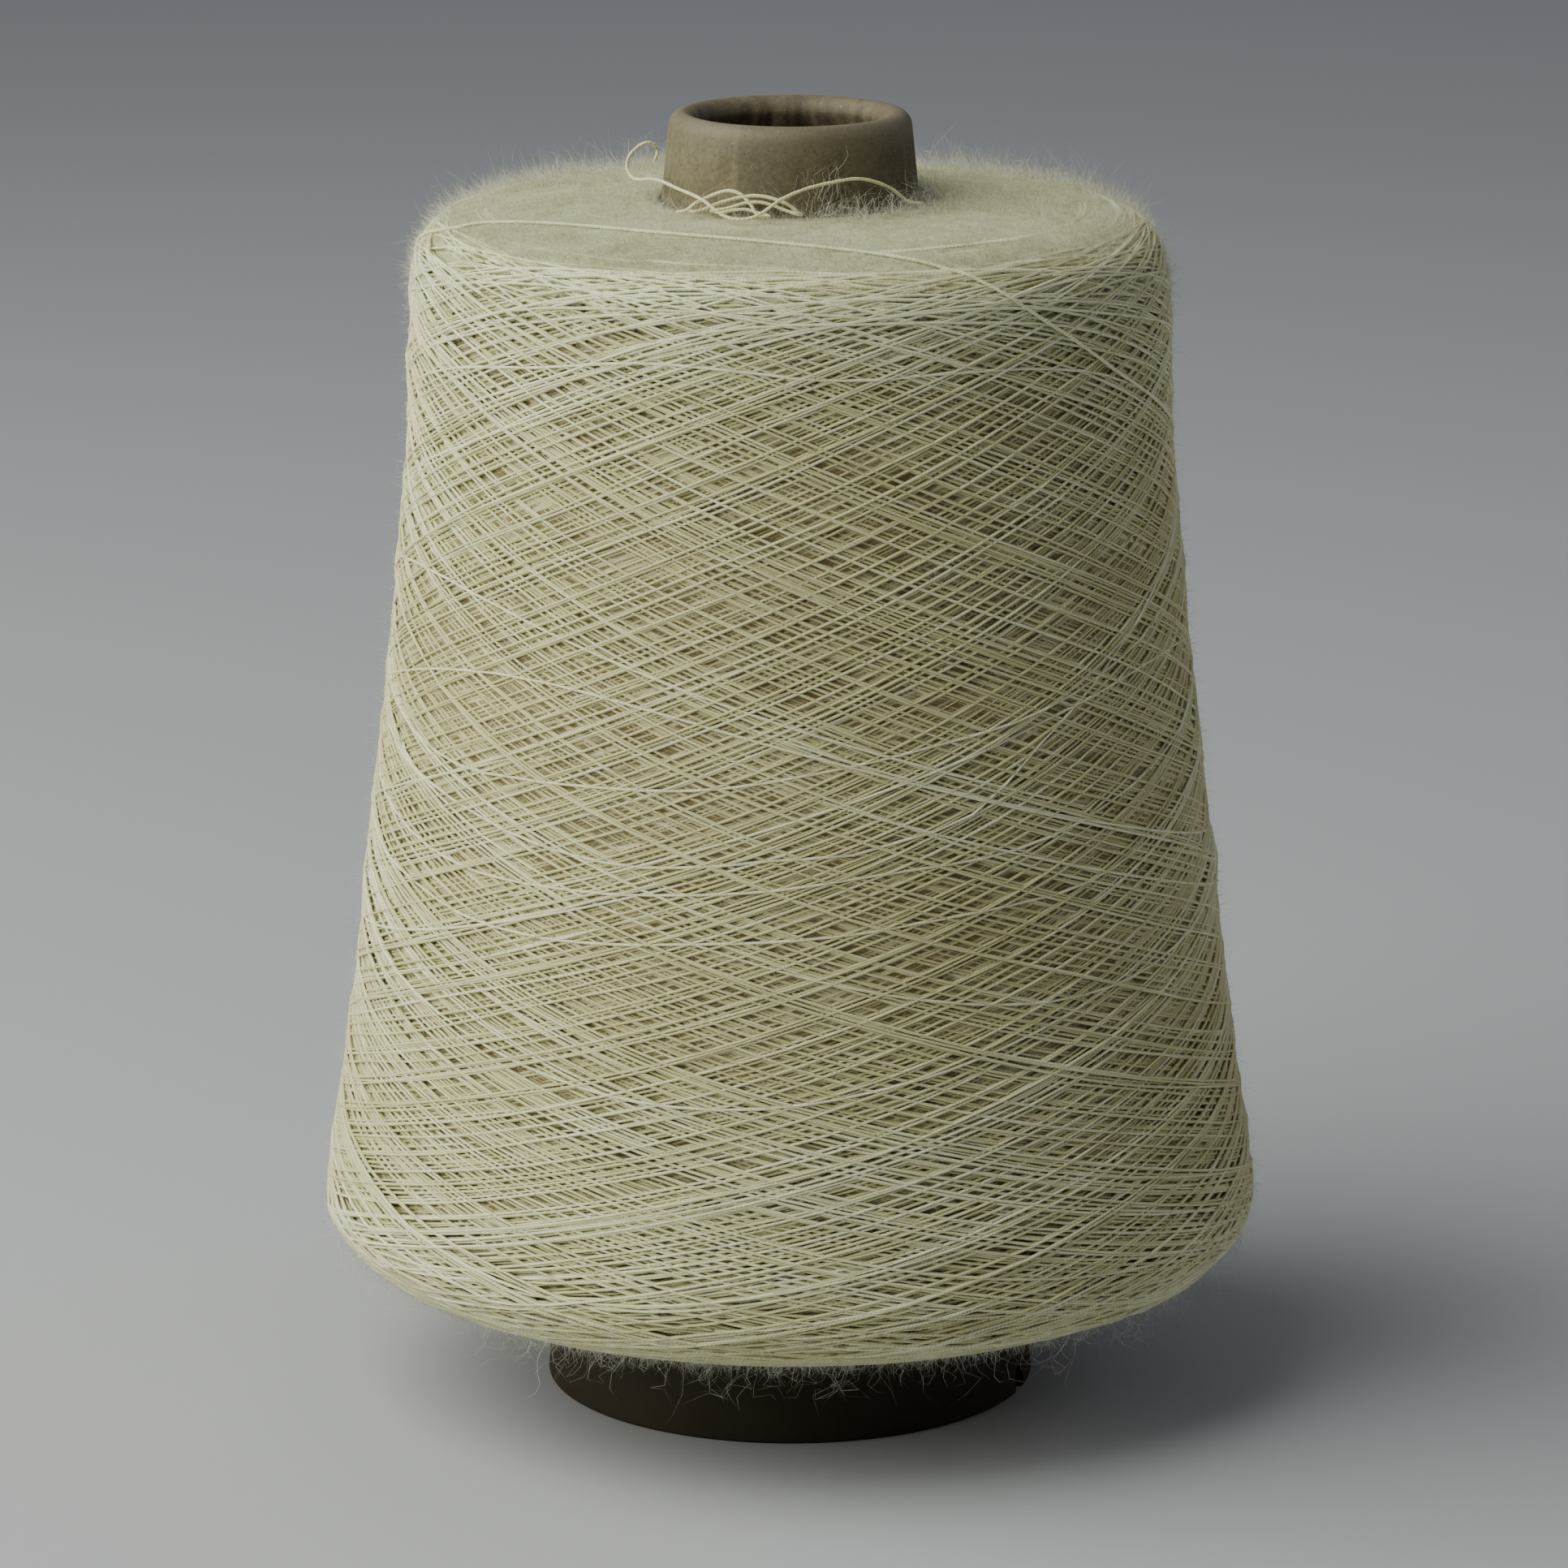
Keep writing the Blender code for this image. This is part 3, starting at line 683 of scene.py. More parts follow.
def paperTube():
    # The section turned round the axis. In the notch the lowest rows are lifted over its arch:
    # lift = straight side + square root of (half its width squared - place across squared).
    # The lip's inner side has pleats, and the wrapped board a low step down its front.
    half = tube["notchWidth"] / 2
    notch = math.radians(tube["notchAzimuth"])
    regular = np.arange(tube["columns"]) * math.tau / tube["columns"]
    fromNotch = np.abs((regular - notch + math.pi) % math.tau - math.pi)
    regular = regular[fromNotch > tube["notchReach"]]
    arch = -half * np.cos(np.linspace(0.0, math.pi, tube["notchColumns"]))
    across = np.concatenate([[-half - tube["notchMargin"]], arch, [half + tube["notchMargin"]]])
    columns = np.concatenate([regular[regular < notch], np.full(len(across), notch),
                              regular[regular > notch]])
    fromMiddle = np.zeros(len(columns))
    inNotch = columns == notch
    fromMiddle[inNotch] = across
    inside = inNotch & (np.abs(fromMiddle) <= half)
    lift = np.where(inside, tube["notchHeight"] - half + np.sqrt(
        np.maximum(half ** 2 - fromMiddle ** 2, 0.0)), 0.0)[:, None]

    section = tubeSection()
    radius, height = (np.broadcast_to(column, (len(columns), len(section)))
                      for column in section.T)
    squeezed = lift + height * (1 - lift / tube["squeezeHeight"])
    lifted = np.where(height < tube["squeezeHeight"], squeezed, height)
    radius = radius + tubeRadius(lifted) - tubeRadius(height)
    leastRadius = tube["baseRadius"] - tube["wall"] - tube["baseRounding"]
    azimuth = columns[:, None] + np.arcsin(fromMiddle[:, None] / np.maximum(radius, leastRadius))

    innerSide = radius < tubeRadius(height) - tube["lipThickness"] / 2 + tube["innerMargin"]
    depth = tube["height"] - lifted
    fading = np.exp(-np.maximum(depth - tube["pleatsFull"], 0) / tube["pleatsFade"])
    least = tube["pleatsDeepDown"]
    pleated = innerSide * np.clip((depth - tube["pleatsFrom"]) / tube["edgeFade"], 0, 1) * (
        least + (1 - least) * fading)
    pleats = sum(size * (1 - np.abs(np.sin(count * azimuth / 2 + dice.uniform(0, math.tau)))) ** 3
                 for count, size in tube["pleats"])
    uneven = sum(size * np.sin(count * azimuth + turn + lifted / perRadian)
                 for count, size, turn, perRadian in tube["uneven"])
    belowTop, aboveBase = (np.clip(away / tube["edgeFade"], 0, 1) for away in (depth, lifted))
    pastSeam = (azimuth - math.radians(tube["seamAzimuth"])) % math.tau * radius
    seam = tube["seamStep"] * np.exp(-pastSeam / tube["seamFade"]) * (~innerSide) * belowTop
    radius = radius + pleats * pleated + (uneven + seam) * aboveBase

    points = place(azimuth, radius, lifted).reshape(-1, 3)
    piece = meshPiece("paper_tube", points, [wrappedFaces(*radius.shape)], tubeBoard,
                      "paper_cone", slot="card")
    piece.data.materials.append(boreBoard)
    piece.data.polygons.foreach_set("material_index", innerSide.ravel().astype(np.int32))
    piece.data.set_sharp_from_angle(angle=math.radians(tube["creaseAngle"]))


paperTube()
report("paper tube")


winding = {
    "columns": 1408,              # places round the cone where a height is kept
    "rowSize": 0.115,             # and along its outline
    "strandWidth": 0.45,
    "footprint": 0.94,            # rows are drawn together by this, so that five fit under it
    "softness": 0.17,             # strands press into each other to this share where they cross
    "leastBend": 0.002,           # curvature under a taut strand, at least
    "baseDepth": 1.5,             # how deep under the outline the winding starts
    "endDepth": 0.62,             # the same on the top and the underside
    "deepFrom": 24.0, "deepTo": 172.0, "depthStep": 12.0,
    "turningDepth": 0.5,          # how much deeper it starts where the turns go back
    "turningPlace": 31.5, "turningWidth": 3.5,
    "felt": 0.42,                 # how far the wool between the turns rises from that depth
    "cycles": 455,                # times up and down the cone
    "cycleShift": 0.381966,       # of a turn between two cycles, so that they spread evenly
    "shiftSpread": 1.2,           # along the circumference at this radius
    "meanRadius": 55.0,
    "pairs": 0.35,                # share of the cycles that have a second one beside them
    "sideBySide": 1.55,           # between the two of a pair, and how it varies
    "pairSpread": (0.8, 1.4),
    "wander": 0.35,
    "wanderLengths": (150.0, 420.0), "wanderShares": (0.5, 0.3, 0.2),
    "pace": (                     # distance along the outline, and how fast it grows per radian
        (0.0, 17.5), (36.0, 19.5), (45.0, 20.8), (55.0, 22.5), (88.0, 22.3), (108.0, 19.3),
        (127.0, 18.6), (140.0, 16.2), (156.0, 15.2), (190.0, 14.0),
    ),
    "topTurning": (0.06, 0.14),   # share of a traverse over which it levels out at the top
    "footTurning": (0.03, 0.09),  # and at the foot
    "startPace": 0.004,           # share of a traverse that is taken as done at its start
    "topTurn": (27.0, 34.0),      # distances along the outline where traverses turn back
    "bottomTurn": (160.0, 171.0),
    "tint": (0.5, 0.16),          # its middle and spread from strand to strand
    "paintedShadeByHeight": 0.6,          # painted shade: turns that lie deep are darker and yellower
    "usualHeight": -0.7, "tintLimit": 0.4,
    "paintedLightUp": 0.11,              # painted light: paler above the middle, at this distance, and painted shade below it
    "middle": 85.0,
    "hiddenBy": 0.05,             # a strand shows unless others lie this much higher
    "seenMargin": 9,              # columns kept on both sides of what is seen
    "shortestRun": 8,
    "endDive": 0.32,              # how far an exposed run's ends go under its neighbours
    "section": ((-0.98, -0.45), (0.98, -0.45), (0.0, 1.05)),
    "trianglesAPiece": 190000,
}
columnCount = winding["columns"]
rowCount = int(outlineLength / winding["rowSize"]) + 1
strandRadius = winding["strandWidth"] / 2
rowDistances = np.arange(rowCount) * winding["rowSize"]
rowRadius, _ = outlineAt(rowDistances)
rowNormalRadius = np.interp(rowDistances, outlineDistances, outlineNormals[:, 0])
slopeAngles = np.unwrap(np.arctan2(outlineNormals[:, 1], outlineNormals[:, 0]))
rowBend = np.abs(np.interp(rowDistances, outlineDistances,
                           np.gradient(slopeAngles, outlineDistances)))
footprint = np.arange(-2, 3)
footprintRise = winding["softness"] * np.sqrt(
    strandRadius ** 2 - (footprint * winding["rowSize"] * winding["footprint"]) ** 2)
# the angle that a strand needs to reach each row at its usual pace
rowAngles = np.cumsum(winding["rowSize"] / np.interp(rowDistances, *np.array(winding["pace"]).T))


def baseDepth(distance, endDepth=winding["endDepth"]):
    # shallower on the top and the underside than on the side: a smooth step, three times the
    # square less twice the cube, joins them over the shoulder and the foot
    def step(x):
        x = np.clip(x, 0.0, 1.0)
        return x * x * (3 - 2 * x)
    side = step((distance - winding["deepFrom"]) / winding["depthStep"]) * step(
        (winding["deepTo"] - distance) / winding["depthStep"])
    return endDepth + (winding["baseDepth"] - endDepth) * side


def turningDepth(distance):
    # a flat-topped bell, so that the turns that go back at the shoulder don't build a rim there:
    # its depth times e to minus the fourth power of the distance from it in widths
    away = (distance - winding["turningPlace"]) / winding["turningWidth"]
    return winding["turningDepth"] * np.exp(-away ** 4)


startHeights = -baseDepth(rowDistances) - turningDepth(rowDistances)
heights = np.tile(startHeights[None], (columnCount, 1)).astype(np.float32)


def tautOver(contact, dip):
    # A strand under tension lies over its contacts: between any two points it is no lower than
    # their mean, less the bulge of the cone between them (half the curvature times reach squared).
    # That is worked out three times, from far points to near ones.
    line = contact.copy()
    for reach in (32, 16, 8, 4, 2, 1) * 3:
        if 2 * reach < len(line):
            between = (line[:-2 * reach] + line[2 * reach:]) / 2 - dip[reach:-reach] * reach ** 2
            line[reach:-reach] = np.maximum(line[reach:-reach], between)
    return line


slackStrand = {"smoothedOver": 12, "pressedIn": 0.12}       # columns to either side, and mm


def layStrand(firstColumn, distances, sink=None, tint=None):
    # Lays one strand over the rest: a place in each column, its distance along the outline given.
    # With a sink it is slack: it follows the mean height of what it lies on, and sinks by so much.
    turned = firstColumn + np.arange(len(distances))
    rows = np.clip(np.round(distances / winding["rowSize"]).astype(int), 2, rowCount - 3)
    cells = (turned % columnCount)[:, None], rows[:, None] + footprint
    contact = (heights[cells] + footprintRise).max(axis=1)
    columnStep = math.tau / columnCount * rowRadius[rows]
    rowStep = np.gradient(distances)
    stepLength = np.hypot(columnStep, rowStep)
    roundCone = rowNormalRadius[rows] / rowRadius[rows] * (columnStep / stepLength) ** 2
    overEdge = rowBend[rows] * (rowStep / stepLength) ** 2
    dip = np.maximum(roundCone + overEdge, winding["leastBend"]) * stepLength ** 2 / 2
    if sink is None:
        line = tautOver(contact, dip)
    else:
        reach = slackStrand["smoothedOver"]
        window = np.ones(2 * reach + 1) / (2 * reach + 1)
        smooth = np.convolve(np.pad(contact, reach, mode="edge"), window, mode="valid")
        line = np.maximum(smooth, contact - slackStrand["pressedIn"]) - sink
    heights[cells] = np.maximum(heights[cells], line[:, None] + footprintRise)
    return {"turned": turned, "rows": rows, "cells": cells, "distances": distances,
            "heights": line, "tint": dice.normal(*winding["tint"]) if tint is None else tint}


def wander(count, size):
    # slow sideways drift along a strand: three sine waves of random length and phase
    spot = np.arange(count)
    drift = np.zeros(count)
    for share in winding["wanderShares"]:
        wave = dice.uniform(*winding["wanderLengths"])
        drift += share * size * np.sin(math.tau * (spot / wave + dice.uniform()))
    return drift


def traverse(fromDistance, toDistance, atStart, atEnd):
    # Distance along the outline at each column: level at both ends, at the usual pace between.
    # The pace is tanh(share done / its start) times tanh(share left / its end), and the angle
    # grows by as much as that costs: the start and the end times the logarithm of two.
    fromAngle, toAngle = np.interp((fromDistance, toDistance), rowDistances, rowAngles)
    slowedBy = 1.0 - math.log(2.0) * (atStart + atEnd)
    count = round(abs(toAngle - fromAngle) / slowedBy / math.tau * columnCount)
    share = np.linspace(0.0, 1.0, count)
    left = 1.0 + winding["startPace"] - share
    pace = np.tanh((share + winding["startPace"]) / atStart) * np.tanh(left / atEnd)
    done = runningSum((pace[1:] + pace[:-1]) / 2)
    done /= done[-1]
    return np.interp(fromAngle + (toAngle - fromAngle) * done, rowAngles, rowDistances)


def windCone():
    # every cycle starts a shift after the one before, climbs to the shoulder and comes down again
    millimetre = columnCount / (math.tau * winding["meanRadius"])
    starts = []
    while len(starts) < winding["cycles"]:
        shift = len(starts) * winding["cycleShift"] % 1.0 * columnCount
        starts.append(shift + dice.normal(0.0, winding["shiftSpread"]) * millimetre)
        if dice.uniform() < winding["pairs"]:
            apart = winding["sideBySide"] * dice.uniform(*winding["pairSpread"])
            starts.append(starts[-1] + apart * millimetre)
    strands = []
    bottom = dice.uniform(*winding["bottomTurn"])
    for column in starts:
        top = dice.uniform(*winding["topTurn"])
        nextBottom = dice.uniform(*winding["bottomTurn"])
        atTop = dice.uniform(*winding["topTurning"])
        atFoot = dice.uniform(*winding["footTurning"])
        up = traverse(bottom, top, atFoot, atTop)
        down = traverse(top, nextBottom, atTop, atFoot)
        distances = np.concatenate([up[:-1], down])
        strands.append(layStrand(round(column), distances + wander(
            len(distances), winding["wander"])))
        bottom = nextBottom
    return strands


endTurns = {
    "half": (0.35, 0.8),          # of an arc, in radians
    "longerInside": 1.3,
    "arcsRound": 4,               # about so many go once round
    "bow": (0.2, 2.2), "wander": 0.25, "sink": 0.9, "fromEdge": 0.6,
    "top": ((0.8, 22.0, 1.2), (20.0, 34.0, 2.2)),      # distances, and how thickly they lie
    "foot": ((176.0, outlineLength - 0.8, 1.2), (164.0, 178.0, 2.2)),
}


def endArcs(firstDistance, lastDistance, coverage):
    # The turning points of the layers below: arcs round the cone that rise out of the end face
    # at one place, run level and sink into it again. Distance = middle + bow times the square of
    # the place along the arc, and the sink grows with its fourth power.
    strands = []
    meanRadius = float(outlineAt((firstDistance + lastDistance) / 2)[0])
    abreast = (lastDistance - firstDistance) / winding["strandWidth"]
    outward = 1.0 if firstDistance < winding["middle"] else -1.0
    for _ in range(int(coverage * abreast * endTurns["arcsRound"])):
        distance = dice.uniform(firstDistance, lastDistance)
        radius = float(outlineAt(distance)[0])
        half = dice.uniform(*endTurns["half"]) * (
            1.0 if radius > meanRadius else endTurns["longerInside"])
        x = np.linspace(-1.0, 1.0, round(2 * half / math.tau * columnCount))
        distances = distance + outward * dice.uniform(*endTurns["bow"]) * x ** 2 + wander(
            len(x), endTurns["wander"])
        distances = np.clip(distances, endTurns["fromEdge"], outlineLength - endTurns["fromEdge"])
        strands.append(layStrand(
            int(dice.integers(columnCount)), distances, sink=endTurns["sink"] * x ** 4))
    return strands


# Turns that slipped out of the pattern, seen from the front: azimuth in degrees, distance along
# the outline. Each sinks in at its two ends.
oddTurns = (
    ((-120, 78), (-80, 90), (-52, 95.2), (-41, 95.0), (-27, 94.5), (-12, 93.8), (-1, 92.2),
     (11, 90.2), (23, 88.2), (32, 87), (60, 80), (100, 66)),
    ((-115, 82), (-75, 95), (-42, 101.8), (-30, 103.5), (-20, 104), (-10, 103.2), (-1, 102.2),
     (8, 101.8), (14, 100.5), (21, 99), (26, 97.4), (28.5, 96), (33, 92.4), (38, 89.2),
     (47, 84.2), (60, 77), (80, 68), (110, 58)),
    ((-125, 88), (-85, 101), (-50, 107.8), (-37, 108), (-26, 107.8), (-13, 107), (-1, 106),
     (8, 104.8), (17, 104), (31, 103), (41, 101.2), (70, 94), (110, 80)),
    ((-125, 94), (-85, 107), (-50, 113.8), (-36, 114.5), (-26, 114.2), (-13, 113.2), (-1, 112.5),
     (8, 111.8), (17, 110.8), (30, 109.8), (42, 109), (75, 101), (115, 88)),
    ((-130, 78), (-100, 68), (-58, 55.2), (-29, 45.5), (-8, 38.8), (5, 35.8), (19, 34.5),
     (34, 34.8), (54, 37.5), (90, 45), (130, 58)),
    ((-100, 55), (-58, 45), (-41, 43), (-22, 40.8), (-8, 41.2), (2, 42.2), (12, 42.5),
     (22, 42.2), (38, 42.8), (53, 45.2), (68, 49.8), (87, 55.8), (120, 66)),
    ((-130, 74), (-100, 64), (-58, 50), (-37, 43.8), (-20, 38.2), (-6, 35.8), (12, 35.5),
     (26, 36), (43, 37.8), (60, 42), (87, 51.5), (130, 64)),
)
turnedBack = {"count": 12, "slope": 0.33, "levelOver": 32.0, "reach": 115.0, "points": 60,
              "middles": (60.0, 140.0), "upBelow": 95.0, "scatter": 12.0, "tint": 0.95,
              "sink": 0.6}


def columnsUnder(line):
    # the first column that the line crosses, and its azimuth in degrees and distance at each one
    first, last = line[[0, -1], 0] * columnCount / 360.0
    azimuth = np.arange(math.ceil(first), math.floor(last)) * 360.0 / columnCount
    return math.ceil(first), azimuth, np.interp(azimuth, *line.T)


def layOddTurns():
    # Besides the turns above, some more all round: distance = middle + slope times the square
    # root of (azimuth squared + level stretch squared), less that stretch
    lines = [smoothCurve(rows, 16) for rows in oddTurns]
    for number in range(turnedBack["count"]):
        azimuth = np.linspace(-turnedBack["reach"], turnedBack["reach"], turnedBack["points"])
        rise = turnedBack["slope"] * (
            np.hypot(azimuth, turnedBack["levelOver"]) - turnedBack["levelOver"])
        middle = dice.uniform(*turnedBack["middles"])
        upwards = -1.0 if middle > turnedBack["upBelow"] else 1.0
        start = number * 360.0 / turnedBack["count"] + dice.uniform(
            -turnedBack["scatter"], turnedBack["scatter"])
        lines.append(np.stack([azimuth + start, middle + upwards * rise], axis=1))
    laid = []
    for line in lines:
        first, azimuth, distances = columnsUnder(line)
        sink = turnedBack["sink"] * np.abs(np.linspace(-1.0, 1.0, len(azimuth))) ** 16
        laid.append(layStrand(first, distances, sink, turnedBack["tint"]))
    return laid


def exposedRuns(strand):
    # stretches of a strand that something can see: the rest is under other strands
    own = strand["heights"][:, None] + footprintRise
    seen = (own > heights[strand["cells"]] - winding["hiddenBy"]).any(axis=1)
    window = np.ones(2 * winding["seenMargin"] + 1)
    seen = np.convolve(seen.astype(float), window, mode="same") > 0
    edges = np.flatnonzero(np.diff(np.concatenate([[False], seen, [False]]).astype(int)))
    return edges.reshape(-1, 2)


def strandRings(strands, spacing):
    # ring places of every exposed run: azimuth, distance, height, tint and the number of the run
    spots, run = [], 0
    for strand in strands:
        for first, last in exposedRuns(strand):
            if last - first < winding["shortestRun"]:
                continue
            length = (last - first) * math.tau * rowRadius[strand["rows"][first]] / columnCount
            index = np.linspace(first, last - 1, max(3, math.ceil(length / spacing) + 1))
            index = np.round(index).astype(int)
            height = strand["heights"][index]
            distance = strand["distances"][index]
            dive = np.zeros(len(index))
            dive[[0, -1]] = winding["endDive"]
            # painted shade: a turn lying deeper than usual is darker, one lying higher is paler
            paintedDepthShade = np.clip(winding["paintedShadeByHeight"] * (height - winding["usualHeight"]),
                          -winding["tintLimit"], winding["tintLimit"])
            # painted light and shade up the cone: paler above the middle, darker below it
            spots.append(np.stack([
                strand["turned"][index] * math.tau / columnCount, distance, height - dive,
                strand["tint"] + paintedDepthShade + winding["paintedLightUp"] * (1.0 - distance / winding["middle"]),
                np.full(len(index), run)], axis=1))
            run += 1
    return np.vstack(spots)


strandSection = strandRadius * np.array(winding["section"])


def strandPieces(name, rings):
    # as many pieces as the triangles need: six for each step along a strand, two for its ends
    azimuth, distance, height, tint, run = rings.T
    centres = onYarn(azimuth, distance, height)
    outwards = normalOnYarn(azimuth, distance)
    runs = run.astype(int)
    starts = runStarts(runs)
    triangles = 6 * np.arange(len(runs)) - 4 * np.searchsorted(starts, np.arange(len(runs)))
    parts = math.ceil(triangles[-1] / winding["trianglesAPiece"])
    cuts = np.searchsorted(triangles, triangles[-1] * np.arange(1, parts) / parts)
    cuts = [0, *starts[np.searchsorted(starts, cuts)], len(runs)]
    for part in range(parts):
        chosen = slice(cuts[part], cuts[part + 1])
        points, faces, uv = sweptStrands(
            centres[chosen], outwards[chosen], runs[chosen], strandSection)
        meshPiece(f"{name}_{part + 1}", points, faces, woundWool, "wound_yarn", uv=uv,
                  tint=np.repeat(tint[chosen], len(strandSection)))
    print(f"{name}: {triangles[-1]} triangles in {parts} pieces")


topArcs = [strand for stretch in endTurns["top"] for strand in endArcs(*stretch)]
footArcs = [strand for stretch in endTurns["foot"] for strand in endArcs(*stretch)]
report("end faces laid")
strands = windCone() + layOddTurns()
report("winding laid")


slippedTurn = {
    "tint": 0.95,
    "lift": 0.16,                 # of its centre over what it rests on
    "tuck": 0.6,                  # how far its ends go in under other turns
    "tuckOver": 9.0,              # degrees
    "overFelt": 0.1,
    "topEnds": 30.0,              # up to this distance it lies on felt
    "route": (                    # azimuth in degrees, distance along the outline
        (-112.0, 41.5), (-105.0, 38.2), (-98.0, 35.6), (-90.5, 32.6), (-85.6, 30.9),
        (-75.7, 27.3), (-71.2, 23.7), (-63.6, 19.6), (-50.7, 16.2), (-33.5, 14.5),
        (-13.4, 15.0), (4.3, 18.3), (13.3, 21.4), (19.9, 24.9), (26.1, 28.2), (33.9, 33.6),
        (46.2, 40.1), (56.2, 45.1), (68.8, 50.3), (77.2, 53.4), (88.0, 57.6), (97.0, 61.4),
        (108.0, 66.0), (118.0, 70.4),
    ),
}


def layTheSlippedTurn():
    # laid over the winding like any other strand, with both ends going under
    line = smoothCurve(slippedTurn["route"])
    first, azimuth, distances = columnsUnder(line)
    laid = layStrand(first, distances, tint=slippedTurn["tint"])
    toEnd = np.minimum(azimuth - azimuth[0], azimuth[-1] - azimuth) / slippedTurn["tuckOver"]
    lift = slippedTurn["lift"] - slippedTurn["tuck"] * np.clip(1.0 - toEnd, 0.0, 1.0) ** 2
    felted = -baseDepth(distances, winding["endDepth"] - winding["felt"]) + slippedTurn["overFelt"]
    centre = np.where(distances < slippedTurn["topEnds"],
                      np.maximum(laid["heights"], felted), laid["heights"])
    route = onYarn(np.radians(azimuth), distances, centre + lift)
    twistedStrand("slipped_turn_yarn", route[::3], slippedTurn["tint"], "slipped_turn")


layTheSlippedTurn()
for name, laid, ringSpacing in (
        ("wound_turns", strands, 5.2), ("top_turns", topArcs, 3.0), ("foot_turns", footArcs, 3.5)):
    strandPieces(name, strandRings(laid, ringSpacing))
report("wound strands")


core = {
    "columns": 112, "rows": 90, "wallRows": 12, "fromTube": 0.3,
    "felt": ((36.0, 46.0, 150.0, 160.0), (winding["felt"], 0.45, 0.45, 0.05)),
}


def woundCore():
    # what lies under the strands: the outline moved in by the base depth and out by the felt,
    # turned round the axis, closed by the wall beside the tube
    rows = np.linspace(0.0, outlineLength, core["rows"])
    radius, height = outlineAt(rows, np.interp(rows, *core["felt"]) - baseDepth(rows))
    wallHeight = np.linspace(height[-1], height[0], core["wallRows"])[1:-1]
    radius = np.concatenate([radius, tubeRadius(wallHeight) + core["fromTube"]])
    height = np.concatenate([height, wallHeight])
    azimuth = np.arange(core["columns"]) * math.tau / core["columns"]
    points = place(azimuth[:, None], radius[None], height[None])
    meshPiece("wound_core", points.reshape(-1, 3), [wrappedFaces(*points.shape[:2])],
              buriedWool, "wound_yarn")


woundCore()
report("core")


# Kinds of hair: how many, bends, shortest, longest, curl and droop. A piece's hairs stand along a
# stretch of the outline, where they get thicker after one place and thinner before another: the
# place, over how far, and the least. Their direction is outwards, upwards and scatter added up.
haze = {
    "kinds": ((19000, 1, 1.0, 4.0, 0.0, 0.0), (3600, 2, 1.8, 5.6, 0.7, 0.0)),
    "along": (0.3, 46.0, 200), "thickens": (4.0, 20.0, 0.4), "thins": (43.0, 8.0, 0.03),
    "thickness": 0.034, "outwards": 0.5, "upwards": 0.35, "scatter": 1.2, "power": 1.6,
    "sunk": 0.15, "turnedOut": True, "shortPast": 30.0, "shortened": 0.65,
    "tufts": {"number": 2600, "spread": 0.7},
}
fringe = {
    "kinds": ((1550, 5, 2.0, 6.0, 0.75, 0.15), (3500, 2, 1.0, 3.0, 0.6, 0.0),
              (50, 6, 6.0, 9.5, 0.3, 0.1), (6000, 1, 0.8, 2.2, 0.0, 0.0)),
    "along": (161.0, 190.0, 120), "thickens": (161.0, 7.0, 0.0), "thins": (184.0, 8.0, 0.12),
    "thickness": 0.043, "outwards": 0.6, "upwards": -0.25, "scatter": 0.75, "power": 2,
    "sunk": 0.15,
}
sideFuzz = {
    "kinds": ((1500, 2, 0.8, 3.6, 0.6, 0.0), (37000, 1, 0.6, 3.0, 0.0, 0.0)),
    "along": (34.0, 168.0, 200), "thickens": (0.0, 1.0, 1.0), "thins": (200.0, 1.0, 1.0),
    "thickness": 0.036, "outwards": 0.45, "upwards": 0.0, "scatter": 0.6, "power": 2,
    "sunk": 0.05,
}
patches = {"waves": 14, "lengths": (2.5, 9.0), "contrast": 0.45, "share": 0.55}
noseFuzz = {
    # how many, where round the tube in radians, how spread, how far from it, and the longest
    "tangles": ((300, 0.0, 10.0, 5.0, 4.5), (240, 0.62, 0.33, 4.5, 4.5), (300, 2.1, 0.5, 10.0, 5.5)),
    "thickness": 0.045, "bends": 4, "curl": 0.6,
    "nearest": 0.2, "sunk": 0.5, "upwards": 0.8, "scatter": 0.6, "shortest": 1.0, "power": 1.5,
}
climbing = {                      # the few that climb the tube
    "count": 26, "azimuth": 15.0, "spread": 0.09, "heights": (158.5, 162.0), "fromTube": 0.15,
    "outwards": 0.12, "scatter": 0.35, "scatterShares": (1.0, 0.1, 0.3), "lengths": (2.0, 6.5),
    "bends": 6, "curl": 0.3,
}


def rootsOnYarn(count, settings):
    # Places on the wound strands, spread evenly over the area that the density leaves: the chance
    # of a distance is its radius times the density there. With tufts, so many places are drawn
    # first, and each root lies near one of them, at a normal spread.
    distances = np.linspace(*settings["along"])
    thickStart, thickOver, thickLeast = settings["thickens"]
    thinEnd, thinOver, thinLeast = settings["thins"]
    density = (np.clip((distances - thickStart) / thickOver, thickLeast, 1.0)
               * np.clip((thinEnd - distances) / thinOver, thinLeast, 1.0))
    chance = np.cumsum(outlineAt(distances)[0] * density)
    tufts = settings.get("tufts")
    number = tufts["number"] if tufts else count
    distance = np.interp(dice.uniform(0.0, chance[-1], number), chance, distances)
    azimuth = dice.uniform(0.0, math.tau, number)
    if tufts:
        near = dice.integers(0, number, count)
        spread = tufts["spread"] * dice.normal(size=(2, count))
        distance = np.clip(distance[near] + spread[0], distances[0], distances[-1])
        azimuth = (azimuth[near] + spread[1] / outlineAt(distance)[0]) % math.tau
    columns = (azimuth / math.tau * columnCount).astype(int) % columnCount
    rows = np.clip((distance / winding["rowSize"]).astype(int), 0, rowCount - 1)
    height = np.maximum(heights[columns, rows], winding["felt"] - baseDepth(distance))
    return (onYarn(azimuth, distance, height - settings["sunk"]),
            normalOnYarn(azimuth, distance), distance)


